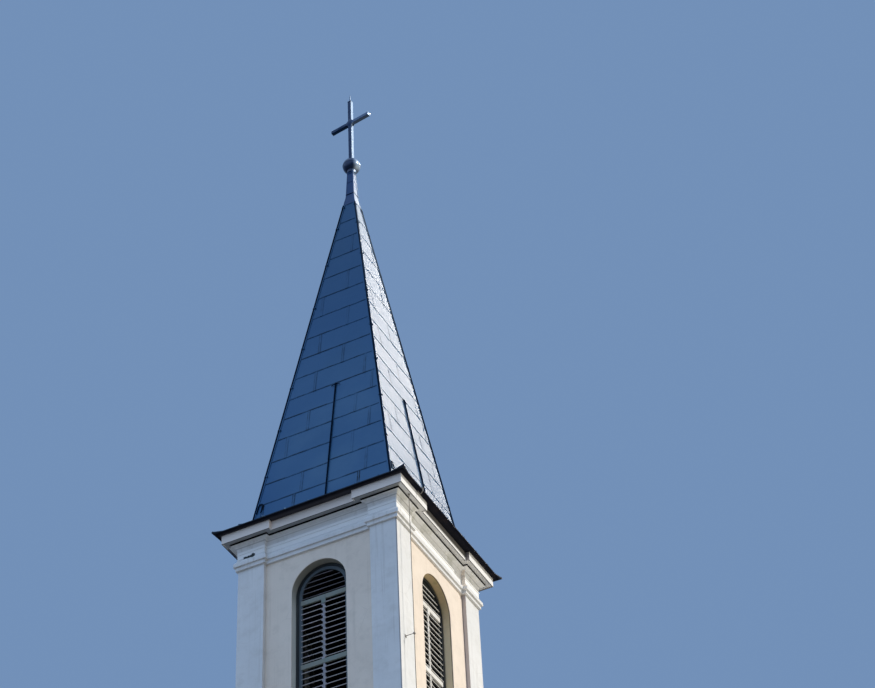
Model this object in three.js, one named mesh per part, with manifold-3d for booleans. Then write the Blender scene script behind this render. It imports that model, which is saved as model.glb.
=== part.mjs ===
// A church bell tower: a square rendered masonry shaft with corner pilasters, louvred
// belfry windows and a moulded cornice, under a tall four-sided sheet-metal spire that ends
// in a ball and a cross. Millimetres, +Z up. The origin is the middle of the tower's
// footprint at ground level, the front looks towards -Y and the right side towards +X.
import * as THREE from 'three';
import { ConvexGeometry } from 'three/addons/geometries/ConvexGeometry.js';
import { mergeVertices } from 'three/addons/utils/BufferGeometryUtils.js';
import Module from 'manifold-3d';

const wasm = await Module();
wasm.setup();

// Driving dimensions of the masonry. Everything is worked out from the tower's width.
const TOWER_WIDTH = 4200;          // over the corner pilasters
const PIER_WIDTH = 700;            // each corner pilaster, square on plan
const FIELD_SETBACK = 100;         // the wall between pilasters lies this far behind them
const PLINTH_TOP = 800;
const STRING_BOTTOM = 10100;       // string course between the lower stage and the belfry
const STRING_TOP = 10400;
const ARCHITRAVE_BOTTOM = 15750;
const FRIEZE_BOTTOM = 16090;
const BED_TOP = 16580;             // top of the bed mould, where the cornice slab rests
const CORNICE_TOP = 16725;
const EAVE_Z = 16800;              // tips of the metal roof's corners; spire heights start here
const EAVE_DROP = 40;              // between its corners the roof edge lies this much lower
const FLOOR_THICKNESS = 200;
const UPPER_FLOOR_TOP = 4800;
const GROUND_FLOOR_TOP = 150;

// Driving dimensions of the openings.
const BELFRY_WINDOW = { width: 1420, sill: 10950, spring: 14690 };
const LOWER_WINDOW = { width: 800, sill: 5600, spring: 6700 };
const DOORWAY = { width: 1300, sill: 0, spring: 2300 };
const REVEAL = 210;                // depth from the wall face to a louvred shutter or door
const ARCH_STEPS = 12;             // curve steps for each quarter of an arch

// Driving dimensions of the spire, heights measured from the eaves.
const EAVE_HALF = 2530;            // half width of the roof edge
const EAVE_TIP_HALF = 2574;        // the pointed corners of the roof edge reach out to here
const EAVE_TIP_LENGTH = 260;       // length of edge over which each corner is drawn out
const SPIRE_HALF_AT_EAVE = 1941;   // the spire's slopes, carried down to the eaves
const SPIRE_APEX = 13089;          // where the slopes would meet
const SPIRE_FOOT = 330;            // the flatter skirt ends and the steep slopes start
const SPIRE_TOP = 11900;           // the boarded slopes end under the metal tip
const NECK_FOOT = 12320;           // the tip turns into the slender neck
const BALL_FOOT = 13250;
const BALL_CENTRE = 13550;
const BALL_RADIUS = 250;
const MAST_FOOT = 13770;
const MAST_TOP = 16250;
const ROD_TOP = 16540;
const CROSSBAR_Z = 15330;
const CROSSBAR_HALF = 650;
const MAST_SIDE = 112;
const CROSS_TURN = -7.5 * Math.PI / 180;

const SEAT_GAP = 0.3;              // clearance of pieces seated in or on a cut face

const towerHalf = TOWER_WIDTH / 2;
const pierInner = towerHalf - PIER_WIDTH;
const pierCentre = towerHalf - PIER_WIDTH / 2;
const fieldHalf = towerHalf - FIELD_SETBACK;
const spireHalfAt = (z) => SPIRE_HALF_AT_EAVE * (1 - z / SPIRE_APEX);

const paint = (color, roughness, metalness = 0) =>
  new THREE.MeshStandardMaterial({ color, roughness, metalness });

const finish = {
  trim: () => paint(0xe6e2da, 0.85),
  field: () => paint(0xdcccb0, 0.9),
  plinth: () => paint(0xa9a49b, 0.9),
  floor: () => paint(0x8f7a5f, 0.85),
  shutter: () => paint(0x52645f, 0.6),
  door: () => paint(0x5b4331, 0.6),
  darkMetal: () => paint(0x2e2c30, 0.5, 0.6),
  eaveTimber: () => paint(0x33271f, 0.8),
  sheet: () => paint(0x8c979f, 0.4, 0.7),
  cross: () => paint(0x7d858c, 0.4, 0.8),
};

const tower = new THREE.Group();

function addPiece(name, geometry, material) {
  const mesh = new THREE.Mesh(geometry, material);
  mesh.name = name;
  tower.add(mesh);
}

// Booleans: geometry in, geometry out.
function toSolid(geometry) {
  const plain = geometry.clone();
  plain.deleteAttribute('normal');
  plain.deleteAttribute('uv');
  const welded = mergeVertices(plain, 1e-3);
  return new wasm.Manifold(new wasm.Mesh({
    numProp: 3,
    vertProperties: new Float32Array(welded.attributes.position.array),
    triVerts: new Uint32Array(welded.index.array),
  }));
}

function toGeometry(solid) {
  const mesh = solid.getMesh();
  const geometry = new THREE.BufferGeometry();
  geometry.setAttribute('position', new THREE.BufferAttribute(mesh.vertProperties, 3));
  geometry.setIndex(new THREE.BufferAttribute(mesh.triVerts, 1));
  return geometry;
}

// A box between two corners.
function block(x0, x1, y0, y1, z0, z1) {
  const geometry = new THREE.BoxGeometry(x1 - x0, y1 - y0, z1 - z0);
  return geometry.translate((x0 + x1) / 2, (y0 + y1) / 2, (z0 + z1) / 2);
}

// Quarter turns about Z, exact, so that pieces made for the front fit every side.
const quarterTurns = [[1, 0], [0, 1], [-1, 0], [0, -1]].map(([c, s]) =>
  new THREE.Matrix4().set(c, -s, 0, 0, s, c, 0, 0, 0, 0, 1, 0, 0, 0, 0, 1));
const sideNames = ['front', 'right', 'back', 'left'];
const cornerNames = ['front_right', 'back_right', 'back_left', 'front_left'];

function addOnSides(prefix, names, geometry, makeMaterial) {
  names.forEach((name, turn) =>
    addPiece(`${prefix}_${name}`, geometry.clone().applyMatrix4(quarterTurns[turn]), makeMaterial()));
}

// A moulded square slab: the profile's [projection, height] points, turned into a four-sided
// lathe about the centre of a square of the given half width. All sizes are whole millimetres.
function mouldedSquare(half, profile) {
  const points = profile.map(([out, z]) => new THREE.Vector2((half + out) * Math.SQRT2, z));
  points.unshift(new THREE.Vector2(0, profile[0][1]));
  points.push(new THREE.Vector2(0, profile[profile.length - 1][1]));
  const geometry = new THREE.LatheGeometry(points, 4).rotateY(Math.PI / 4).rotateX(Math.PI / 2);
  const position = geometry.attributes.position;
  for (let i = 0; i < position.array.length; i += 1) {
    position.array[i] = Math.round(position.array[i]);
  }
  return toSolid(geometry);
}

// A moulding that runs round the tower and breaks forward over the four corner pilasters.
function mouldedRing(profile) {
  const heights = profile.map(([, z]) => z);
  let ring = mouldedSquare(fieldHalf, profile);
  for (const [sx, sy] of [[1, 1], [1, -1], [-1, 1], [-1, -1]]) {
    const corner = mouldedSquare(PIER_WIDTH / 2, profile);
    ring = ring.add(corner.translate([sx * pierCentre, sy * pierCentre, 0]));
  }
  const shaft = block(-pierInner, pierInner, -pierInner, pierInner,
    Math.min(...heights) - 1, Math.max(...heights) + 1);
  return ring.subtract(toSolid(shaft));
}

// The outline of a round-headed opening, in x and z, drawn larger or smaller by an inset.
function archOutline(opening, inset, bottom = opening.sill) {
  const half = opening.width / 2 - inset;
  const path = new THREE.Shape();
  path.moveTo(-half, bottom);
  path.lineTo(half, bottom);
  path.lineTo(half, opening.spring);
  path.absarc(0, opening.spring, half, 0, Math.PI, false);
  path.lineTo(-half, bottom);
  return path;
}

// Extrudes an outline drawn in x and z from y0 to y1.
function upright(shape, y0, y1) {
  const geometry = new THREE.ExtrudeGeometry(shape,
    { depth: y1 - y0, bevelEnabled: false, curveSegments: ARCH_STEPS });
  return geometry.rotateX(Math.PI / 2).translate(0, y1, 0);
}

function wallShape(bottom, top) {
  const shape = new THREE.Shape();
  shape.moveTo(-pierInner, bottom);
  shape.lineTo(pierInner, bottom);
  shape.lineTo(pierInner, top);
  shape.lineTo(-pierInner, top);
  shape.closePath();
  return shape;
}

function wallPanel(bottom, top, opening) {
  const shape = wallShape(bottom, top);
  shape.holes.push(archOutline(opening, 0));
  return upright(shape, -fieldHalf, -pierInner);
}

// Plinth: a rendered base that stands out from the pilasters, with a weathered top edge. The
// doorway is cut through its front.
const PLINTH_PROUD = 80;
const PLINTH_SLOPE = 60;           // height of the weathered top edge
const plinthProfile = [
  [PLINTH_PROUD, 0], [PLINTH_PROUD, PLINTH_TOP - PLINTH_SLOPE], [0, PLINTH_TOP],
];
const plinthRing = mouldedRing(plinthProfile);
const doorHalf = DOORWAY.width / 2;
const doorCut = block(-doorHalf, doorHalf, -towerHalf - 2 * PLINTH_PROUD, -pierInner + 1,
  -1, PLINTH_TOP + 1);
addPiece('plinth', toGeometry(plinthRing.subtract(toSolid(doorCut))), finish.plinth());

// Ground floor slab, with a tongue that makes the threshold in the doorway.
const groundShape = new THREE.Shape();
groundShape.moveTo(-pierInner, -pierInner);
groundShape.lineTo(-doorHalf, -pierInner);
groundShape.lineTo(-doorHalf, -fieldHalf);
groundShape.lineTo(doorHalf, -fieldHalf);
groundShape.lineTo(doorHalf, -pierInner);
groundShape.lineTo(pierInner, -pierInner);
groundShape.lineTo(pierInner, pierInner);
groundShape.lineTo(-pierInner, pierInner);
groundShape.closePath();
addPiece('ground_floor',
  new THREE.ExtrudeGeometry(groundShape, { depth: GROUND_FLOOR_TOP, bevelEnabled: false }),
  finish.floor());

// Lower stage: four corner pilasters and the wall panels between them.
const lowerPier = block(pierInner, towerHalf, -towerHalf, -pierInner, PLINTH_TOP, STRING_BOTTOM);
addOnSides('lower_pilaster', cornerNames, lowerPier, finish.trim);
const plainLowerWall = wallPanel(PLINTH_TOP, STRING_BOTTOM, LOWER_WINDOW);
const doorPassage = upright(archOutline(DOORWAY, 0), -fieldHalf - 10, -pierInner + 10);
const doorWall = toGeometry(toSolid(plainLowerWall).subtract(toSolid(doorPassage)));
addPiece('lower_wall_front', doorWall, finish.field());
sideNames.slice(1).forEach((name, i) =>
  addPiece(`lower_wall_${name}`,
    plainLowerWall.clone().applyMatrix4(quarterTurns[i + 1]), finish.field()));

// Upper floor at the small windows and belfry floor at the string course.
const floorSlab = (top) =>
  block(-pierInner, pierInner, -pierInner, pierInner, top - FLOOR_THICKNESS, top);
addPiece('upper_floor', floorSlab(UPPER_FLOOR_TOP), finish.floor());
addPiece('belfry_floor', floorSlab(STRING_TOP), finish.floor());

// String course: a fillet, a flat band and a sloping top.
const stringProfile = [
  [40, STRING_BOTTOM], [40, STRING_BOTTOM + 60],
  [90, STRING_BOTTOM + 60], [90, STRING_BOTTOM + 200], [0, STRING_TOP],
];
addPiece('string_course', toGeometry(mouldedRing(stringProfile)), finish.trim());

// Belfry stage.
const belfryPier = block(pierInner, towerHalf, -towerHalf, -pierInner, STRING_TOP, ARCHITRAVE_BOTTOM);
addOnSides('belfry_pilaster', cornerNames, belfryPier, finish.trim);
addOnSides('belfry_wall', sideNames,
  wallPanel(STRING_TOP, ARCHITRAVE_BOTTOM, BELFRY_WINDOW), finish.field);

// Entablature. Architrave: two stepped bands under a sloping cyma.
const architraveProfile = [
  [50, ARCHITRAVE_BOTTOM], [50, ARCHITRAVE_BOTTOM + 100],
  [90, ARCHITRAVE_BOTTOM + 100], [90, ARCHITRAVE_BOTTOM + 190],
  [72, ARCHITRAVE_BOTTOM + 220], [48, ARCHITRAVE_BOTTOM + 250],
  [24, ARCHITRAVE_BOTTOM + 300], [20, FRIEZE_BOTTOM],
];
addPiece('architrave', toGeometry(mouldedRing(architraveProfile)), finish.trim());

// Frieze with a hollow bed mould, and a narrow neck that leaves a deep shadow groove.
const COVE_BOTTOM = BED_TOP - 320;
const COVE_TOP = BED_TOP - 125;
const COVE_IN = 20;
const COVE_OUT = 150;
const COVE_STEPS = 5;
const FILLET_BOTTOM = COVE_BOTTOM - 60;
const FILLET_TOP = COVE_BOTTOM - 35;
const FILLET_OUT = COVE_IN + 12;
const friezeProfile = [
  [COVE_IN, FRIEZE_BOTTOM], [COVE_IN, FILLET_BOTTOM], [FILLET_OUT, FILLET_BOTTOM],
  [FILLET_OUT, FILLET_TOP], [COVE_IN, FILLET_TOP],
];
for (let i = 0; i <= COVE_STEPS; i += 1) {
  const angle = (i / COVE_STEPS) * Math.PI / 2;
  friezeProfile.push([
    Math.round(COVE_OUT - (COVE_OUT - COVE_IN) * Math.cos(angle)),
    Math.round(COVE_BOTTOM + (COVE_TOP - COVE_BOTTOM) * Math.sin(angle)),
  ]);
}
friezeProfile.push([COVE_OUT, COVE_TOP + 12], [100, COVE_TOP + 12], [100, BED_TOP]);
addPiece('frieze', toGeometry(mouldedRing(friezeProfile)), finish.trim());

// Cornice slab: a tall flat fascia with a drip lip, and an open groove behind its soffit.
const FASCIA_OUT = 300;
const FASCIA_BOTTOM = EAVE_Z - 320;
const SOFFIT_Z = FASCIA_BOTTOM + 20;
const LIP_WIDTH = 25;
const GROOVE_OUT = 152;
const upstand = (out, bottom, top) => mouldedRing([[out, bottom], [out, top]]);
const fascia = upstand(FASCIA_OUT, FASCIA_BOTTOM, CORNICE_TOP);
const dripRecess = upstand(FASCIA_OUT - LIP_WIDTH, FASCIA_BOTTOM - 1, SOFFIT_Z);
const groove = upstand(GROOVE_OUT, FASCIA_BOTTOM - 1, BED_TOP);
addPiece('cornice', toGeometry(fascia.subtract(dripRecess).subtract(groove)), finish.trim());

// Eave: dark boarding with a sloping outer edge, then the flared metal-clad skirt on top.
const eaveRing = (profile, inner) => {
  const heights = profile.map(([, z]) => z);
  const well = block(-inner, inner, -inner, inner, Math.min(...heights) - 1, Math.max(...heights) + 1);
  return toGeometry(mouldedSquare(0, profile).subtract(toSolid(well)));
};
const EAVE_BOARD_TOP = EAVE_Z - EAVE_DROP - 20;
const BOARD_FOOT_HALF = 2430;       // the boarding splays out from here to the metal edge
const BOARD_HEAD_HALF = 2510;
const SKIRT_INNER = 1700;
addPiece('eave_board',
  eaveRing([[BOARD_FOOT_HALF, CORNICE_TOP], [BOARD_HEAD_HALF, EAVE_BOARD_TOP]], pierInner),
  finish.eaveTimber());
const skirtProfile = [
  [EAVE_HALF, EAVE_BOARD_TOP], [EAVE_HALF, EAVE_Z - EAVE_DROP],
  [Math.round(spireHalfAt(SPIRE_FOOT)), EAVE_Z + SPIRE_FOOT],
];
const tipRoot = EAVE_HALF - EAVE_TIP_LENGTH;
const tipPoints = [
  [tipRoot, -EAVE_HALF, EAVE_BOARD_TOP], [tipRoot, -EAVE_HALF, EAVE_Z - EAVE_DROP],
  [EAVE_HALF, -tipRoot, EAVE_BOARD_TOP], [EAVE_HALF, -tipRoot, EAVE_Z - EAVE_DROP],
  [EAVE_HALF, -EAVE_HALF, EAVE_BOARD_TOP], [EAVE_TIP_HALF, -EAVE_TIP_HALF, EAVE_Z - EAVE_DROP],
  [EAVE_TIP_HALF, -EAVE_TIP_HALF, EAVE_Z], [tipRoot, -tipRoot, EAVE_BOARD_TOP],
  [tipRoot, -tipRoot, EAVE_Z + EAVE_DROP],
].map(([x, y, z]) => new THREE.Vector3(x, y, z));
let skirt = toSolid(eaveRing(skirtProfile, SKIRT_INNER));
for (const turn of quarterTurns) {
  skirt = skirt.add(toSolid(new ConvexGeometry(tipPoints).applyMatrix4(turn)));
}
addPiece('spire_skirt', toGeometry(skirt), finish.sheet());

// A four-sided frustum of the spire's slopes, moved out by an offset; heights from the eaves.
function spireFrustum(z0, z1, out) {
  const height = z1 - z0;
  const geometry = new THREE.CylinderGeometry(
    (spireHalfAt(z1) + out) * Math.SQRT2, (spireHalfAt(z0) + out) * Math.SQRT2, height, 4, 1);
  geometry.rotateY(Math.PI / 4).rotateX(Math.PI / 2);
  return toSolid(geometry.translate(0, 0, EAVE_Z + (z0 + z1) / 2));
}

// Spire: four slopes of boards on rafters under sheet metal, mitred to each other at the hips
// and open below into the belfry.
const SHELL_THICKNESS = 120;
const BEYOND = 3000;               // reach of cutting blocks, past anything in the spire
const shellInside = spireFrustum(SPIRE_FOOT - 10, SPIRE_TOP + 10, -SHELL_THICKNESS);
const quarter = new THREE.Shape();
quarter.moveTo(0, -SEAT_GAP);
quarter.lineTo(-BEYOND, -BEYOND - SEAT_GAP);
quarter.lineTo(BEYOND, -BEYOND - SEAT_GAP);
quarter.closePath();
const mitreWedge = toSolid(new THREE.ExtrudeGeometry(quarter,
  { depth: SPIRE_APEX, bevelEnabled: false }).translate(0, 0, EAVE_Z));
const slope = spireFrustum(SPIRE_FOOT, SPIRE_TOP, 0).subtract(shellInside).intersect(mitreWedge);
addOnSides('spire_slope', sideNames, toGeometry(slope), finish.sheet);

// Metal cappings on the four hips: a band bent round each edge of the spire.
const CAP_PROUD = 24;
const CAP_WIDTH = 60;
function coatOnSpire(z0, z1, proud) {
  return spireFrustum(z0, z1, proud).subtract(spireFrustum(z0 - 10, z1 + 10, SEAT_GAP));
}
const capBand = coatOnSpire(SPIRE_FOOT + SEAT_GAP, SPIRE_TOP - SEAT_GAP, CAP_PROUD);
const hipSlice = toSolid(block(0, BEYOND, -CAP_WIDTH / 2, CAP_WIDTH / 2, EAVE_Z, EAVE_Z + SPIRE_APEX)
  .rotateZ(-Math.PI / 4));
addOnSides('hip_capping', cornerNames, toGeometry(capBand.intersect(hipSlice)), finish.darkMetal);

// Raised seam up the lower third of each slope, where the sheets are joined side by side.
const SEAM_OFFSET = 125;
const SEAM_WIDTH = 36;
const SEAM_TOP = 4450;
const SEAM_PROUD = 40;
const seamBand = coatOnSpire(SPIRE_FOOT + SEAT_GAP, SEAM_TOP, SEAM_PROUD);
const seamSlice = toSolid(block(SEAM_OFFSET - SEAM_WIDTH / 2, SEAM_OFFSET + SEAM_WIDTH / 2,
  -BEYOND, 0, EAVE_Z, EAVE_Z + SPIRE_APEX));
addOnSides('spire_seam', sideNames, toGeometry(seamBand.intersect(seamSlice)), finish.darkMetal);

// Metal tip and neck, in one piece of sheet metal that steepens where they meet.
const tipHalf = Math.round(spireHalfAt(SPIRE_TOP));
const NECK_FOOT_HALF = 124;
const NECK_TOP_HALF = 88;
const neck = mouldedSquare(0, [
  [tipHalf, EAVE_Z + SPIRE_TOP], [NECK_FOOT_HALF, EAVE_Z + NECK_FOOT],
  [NECK_TOP_HALF, EAVE_Z + BALL_FOOT],
]);
addPiece('spire_neck', toGeometry(neck), finish.sheet());

// Ball: two spun halves with a conical foot.
const BALL_STEPS = 10;
const BALL_SIDES = 24;
const BALL_FOOT_RADIUS = 130;
const BALL_START_ANGLE = -0.95;    // latitude where the conical foot meets the ball
const ballEndAngle = Math.asin((MAST_FOOT - BALL_CENTRE) / BALL_RADIUS);
const ballPoints = [
  new THREE.Vector2(0, EAVE_Z + BALL_FOOT),
  new THREE.Vector2(BALL_FOOT_RADIUS, EAVE_Z + BALL_FOOT),
];
for (let i = 0; i <= BALL_STEPS; i += 1) {
  const angle = BALL_START_ANGLE + (ballEndAngle - BALL_START_ANGLE) * i / BALL_STEPS;
  ballPoints.push(new THREE.Vector2(BALL_RADIUS * Math.cos(angle),
    EAVE_Z + BALL_CENTRE + BALL_RADIUS * Math.sin(angle)));
}
ballPoints.push(new THREE.Vector2(0, EAVE_Z + MAST_FOOT));
addPiece('ball', new THREE.LatheGeometry(ballPoints, BALL_SIDES).rotateX(Math.PI / 2), finish.cross());

// Cross: a square mast and bar with a diamond boss at the crossing and a thin rod on top. It stands
// a few degrees off square with the tower.
const mastHalf = MAST_SIDE / 2;
const mast = toSolid(block(-mastHalf, mastHalf, -mastHalf, mastHalf,
  EAVE_Z + MAST_FOOT, EAVE_Z + MAST_TOP));
const bar = toSolid(block(-CROSSBAR_HALF, CROSSBAR_HALF, -mastHalf, mastHalf,
  EAVE_Z + CROSSBAR_Z - mastHalf, EAVE_Z + CROSSBAR_Z + mastHalf));
const BOSS_SIDE = 230;
const BOSS_DEPTH = MAST_SIDE - 20;
const boss = toSolid(new THREE.BoxGeometry(BOSS_SIDE, BOSS_DEPTH, BOSS_SIDE)
  .rotateY(Math.PI / 4).translate(0, 0, EAVE_Z + CROSSBAR_Z));
const ROD_RADIUS = 22;
const ROD_SEAT = 20;               // the rod is let into the mast by this much
const rodLength = ROD_TOP - MAST_TOP + ROD_SEAT;
const rod = toSolid(new THREE.CylinderGeometry(ROD_RADIUS / 2, ROD_RADIUS, rodLength, 10)
  .rotateX(Math.PI / 2).translate(0, 0, EAVE_Z + ROD_TOP - rodLength / 2));
addPiece('cross', toGeometry(mast.add(bar).add(boss).add(rod)).rotateZ(CROSS_TURN), finish.cross());

// Louvred shutter: an arched frame with rails, tilted slats in the bays between them, a centre
// post that the slats lap, and a sill board.
const FRAME_WIDTH = 80;
const BELFRY_FRAME_WIDTH = 150;    // fixed frame and the stile of the shutter in it
const FRAME_DEPTH = 120;
const RAIL_HEIGHT = 120;
const SLAT_PITCH = 150;
const SLAT_DEPTH = 100;
const SLAT_THICKNESS = 22;
const SLAT_TILT = 38 * Math.PI / 180;
const SLAT_CENTRE = 50;            // behind the front of the frame
const SLAT_HOUSING = 20;           // the slats are let into the frame by this much
const POST_SETBACK = 16;           // behind the front of the frame
const POST_DEPTH = 60;
const POST_LAP = 12;               // the slats lap the post's edges by this much
const BELFRY_POST_WIDTH = 92;
const SILL_HEIGHT = 60;
const SILL_PROUD = 60;
const frameFront = -fieldHalf + REVEAL;
function louvre(opening, frameWidth, rails, postWidth) {
  const half = opening.width / 2;
  const frameBottom = opening.sill + SILL_HEIGHT - 10;
  const bottomClear = opening.sill + SILL_HEIGHT + RAIL_HEIGHT;
  const back = frameFront + FRAME_DEPTH;
  const tongue = frameWidth - SLAT_HOUSING;
  const outer = archOutline(opening, SEAT_GAP, frameBottom);
  const inner = archOutline(opening, frameWidth, bottomClear);
  let solid = toSolid(upright(outer, frameFront, back))
    .subtract(toSolid(upright(inner, frameFront - 1, back + 1)));
  for (const z of rails) {
    solid = solid.add(toSolid(block(tongue - half, half - tongue, frameFront + 4, back - 4,
      z - RAIL_HEIGHT / 2, z + RAIL_HEIGHT / 2)));
  }
  if (postWidth > 0) {
    solid = solid.add(toSolid(block(-postWidth / 2, postWidth / 2, frameFront + POST_SETBACK,
      frameFront + POST_SETBACK + POST_DEPTH, frameBottom + 30, rails[rails.length - 1])));
  }
  const edges = [bottomClear, ...rails.flatMap((z) => [z - RAIL_HEIGHT / 2, z + RAIL_HEIGHT / 2]),
    opening.spring + half - frameWidth];
  const archField = toSolid(upright(archOutline(opening, tongue), frameFront, back));
  const slat = (z, x0, x1) => toSolid(new THREE.BoxGeometry(x1 - x0, SLAT_DEPTH, SLAT_THICKNESS)
    .rotateX(SLAT_TILT).translate((x0 + x1) / 2, frameFront + SLAT_CENTRE, z));
  const slatEnd = half - tongue;
  const slatFoot = postWidth / 2 - POST_LAP;
  for (let bay = 0; bay < edges.length; bay += 2) {
    const [bottom, top] = edges.slice(bay, bay + 2);
    const count = Math.round((top - bottom) / SLAT_PITCH);
    for (let i = 0; i < count; i += 1) {
      const z = bottom + (top - bottom) * (i + 0.5) / count;
      if (postWidth > 0 && bay < rails.length * 2) {
        solid = solid.add(slat(z, -slatEnd, -slatFoot)).add(slat(z, slatFoot, slatEnd));
      } else {
        solid = solid.add(slat(z, -slatEnd, slatEnd).intersect(archField));
      }
    }
  }
  const sill = toSolid(block(SEAT_GAP - half, half - SEAT_GAP, -fieldHalf - SILL_PROUD, back + 20,
    opening.sill + SEAT_GAP, opening.sill + SILL_HEIGHT));
  return toGeometry(solid.add(sill));
}
// Middles of the rails. The pairs in the right and back windows were made with theirs higher up.
const shadyRails = [12755, 14500];
const sunnyRails = [12845, 14620];
const lowerRails = [6630];
[shadyRails, sunnyRails, sunnyRails, shadyRails].forEach((rails, turn) =>
  addPiece(`belfry_louvre_${sideNames[turn]}`,
    louvre(BELFRY_WINDOW, BELFRY_FRAME_WIDTH, rails, BELFRY_POST_WIDTH)
      .applyMatrix4(quarterTurns[turn]), finish.shutter()));
addOnSides('lower_louvre', sideNames,
  louvre(LOWER_WINDOW, FRAME_WIDTH, lowerRails, 0), finish.shutter);

// Door: a fixed pair of leaves under a boarded round head, in a plain frame.
const LEAF_SETBACK = 30;
const DOOR_RAIL_HEIGHT = 120;
const DOOR_POST_WIDTH = 70;
const doorOuter = archOutline(DOORWAY, SEAT_GAP, GROUND_FLOOR_TOP + SEAT_GAP);
const doorInner = archOutline(DOORWAY, FRAME_WIDTH, GROUND_FLOOR_TOP + FRAME_WIDTH / 2);
const doorBack = frameFront + FRAME_DEPTH;
const doorPanel = toSolid(upright(doorOuter, frameFront, doorBack));
const leafRecess = toSolid(upright(doorInner, frameFront - 1, frameFront + LEAF_SETBACK));
const leafFace = frameFront + LEAF_SETBACK + 1;
const doorRail = toSolid(block(FRAME_WIDTH / 2 - doorHalf, doorHalf - FRAME_WIDTH / 2,
  frameFront, leafFace, DOORWAY.spring - DOOR_RAIL_HEIGHT / 2, DOORWAY.spring + DOOR_RAIL_HEIGHT / 2));
const doorPost = toSolid(block(-DOOR_POST_WIDTH / 2, DOOR_POST_WIDTH / 2, frameFront + 5, leafFace,
  GROUND_FLOOR_TOP + FRAME_WIDTH / 4, DOORWAY.spring));
addPiece('door', toGeometry(doorPanel.subtract(leafRecess).add(doorRail).add(doorPost)), finish.door());

// Lightning conductor: a round rod that hangs clear of the front right pilaster's side face, from the
// cornice's underside down to the plinth, on long stand-off pins. It is in two lengths, which meet in
// front of the string course.
const CONDUCTOR_RADIUS = 9;
const CONDUCTOR_STANDOFF = 220;
const CONDUCTOR_Y = -1860;
const PIN_PITCH = 3800;
const PIN_WIDTH = 12;
const PIN_HEIGHT = 24;
const TOP_PIN = 12630;
const END_CLEAR = 20;              // the rod stops this far below the cornice
const COUPLING_GAP = 10;           // between each length's end and the middle of their coupling
const conductorX = towerHalf + CONDUCTOR_STANDOFF;
const conductorBottom = PLINTH_TOP + 300;
const couplingZ = (STRING_BOTTOM + STRING_TOP) / 2;
const conductorTop = SOFFIT_Z - END_CLEAR;
function conductorRun(bottom, top) {
  const rodPiece = new THREE.CylinderGeometry(CONDUCTOR_RADIUS, CONDUCTOR_RADIUS, top - bottom, 8)
    .rotateX(Math.PI / 2).translate(conductorX, CONDUCTOR_Y, (top + bottom) / 2);
  let run = toSolid(rodPiece);
  for (let z = TOP_PIN; z > bottom; z -= PIN_PITCH) {
    if (z < top) {
      run = run.add(toSolid(block(towerHalf + SEAT_GAP, conductorX, CONDUCTOR_Y - PIN_WIDTH / 2,
        CONDUCTOR_Y + PIN_WIDTH / 2, z - PIN_HEIGHT / 2, z + PIN_HEIGHT / 2)));
    }
  }
  return toGeometry(run);
}
addPiece('conductor_lower', conductorRun(conductorBottom, couplingZ - COUPLING_GAP),
  finish.darkMetal());
addPiece('conductor_belfry', conductorRun(couplingZ + COUPLING_GAP, conductorTop), finish.darkMetal());

export default tower;
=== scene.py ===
"""The finished look of a church bell tower: rendered brickwork with corner pilasters, louvred belfry
windows and a moulded cornice, under a tall sheet-metal spire with a ball and a cross. The tower stands
on the ground at z = 0, its front looks towards -Y and its right side towards +X. Metres throughout."""

import math
import random
from itertools import product

import bmesh
import bpy
from mathutils import Matrix, Vector, noise


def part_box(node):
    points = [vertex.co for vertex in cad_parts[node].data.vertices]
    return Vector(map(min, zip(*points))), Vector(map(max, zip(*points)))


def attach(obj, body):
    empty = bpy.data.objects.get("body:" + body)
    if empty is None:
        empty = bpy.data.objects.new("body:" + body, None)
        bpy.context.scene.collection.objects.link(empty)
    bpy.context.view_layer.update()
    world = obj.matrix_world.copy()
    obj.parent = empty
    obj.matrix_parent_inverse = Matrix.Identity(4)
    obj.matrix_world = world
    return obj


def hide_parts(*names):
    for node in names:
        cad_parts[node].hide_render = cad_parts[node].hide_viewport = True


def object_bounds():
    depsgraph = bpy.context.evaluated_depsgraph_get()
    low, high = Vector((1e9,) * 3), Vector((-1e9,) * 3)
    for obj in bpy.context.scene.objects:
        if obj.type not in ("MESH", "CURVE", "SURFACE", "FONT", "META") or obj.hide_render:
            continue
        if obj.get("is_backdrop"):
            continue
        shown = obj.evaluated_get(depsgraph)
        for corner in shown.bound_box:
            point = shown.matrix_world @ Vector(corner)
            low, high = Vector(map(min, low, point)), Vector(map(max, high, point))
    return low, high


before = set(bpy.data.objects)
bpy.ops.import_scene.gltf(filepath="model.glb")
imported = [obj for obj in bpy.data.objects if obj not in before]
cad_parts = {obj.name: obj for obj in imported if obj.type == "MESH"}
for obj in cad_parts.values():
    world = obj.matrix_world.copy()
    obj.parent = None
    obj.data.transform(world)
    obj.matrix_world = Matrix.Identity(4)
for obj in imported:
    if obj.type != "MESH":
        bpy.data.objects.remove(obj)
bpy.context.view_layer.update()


# The viewer stands far below the tower's foot, in front of its near right corner, looks steeply up
# through a long lens and holds it three degrees off level. All of it follows from the tower's corners.
VIEWPOINT = (20.36871, -38.18009, -15.23339)
VIEW_TURN, VIEW_RISE, VIEW_ROLL = 25.23187, 41.85630, -3.05306
lens = bpy.data.cameras.new("viewer")
lens.sensor_width = 36.0
lens.lens = 91.557
lens.clip_end = 500.0
camera = bpy.data.objects.new("viewer", lens)
stance = Matrix.Translation(VIEWPOINT)
for angle, axis in ((VIEW_TURN, "Z"), (90 + VIEW_RISE, "X"), (VIEW_ROLL, "Z")):
    stance = stance @ Matrix.Rotation(math.radians(angle), 4, axis)
camera.matrix_world = stance
bpy.context.scene.collection.objects.link(camera)
bpy.context.scene.camera = camera


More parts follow.
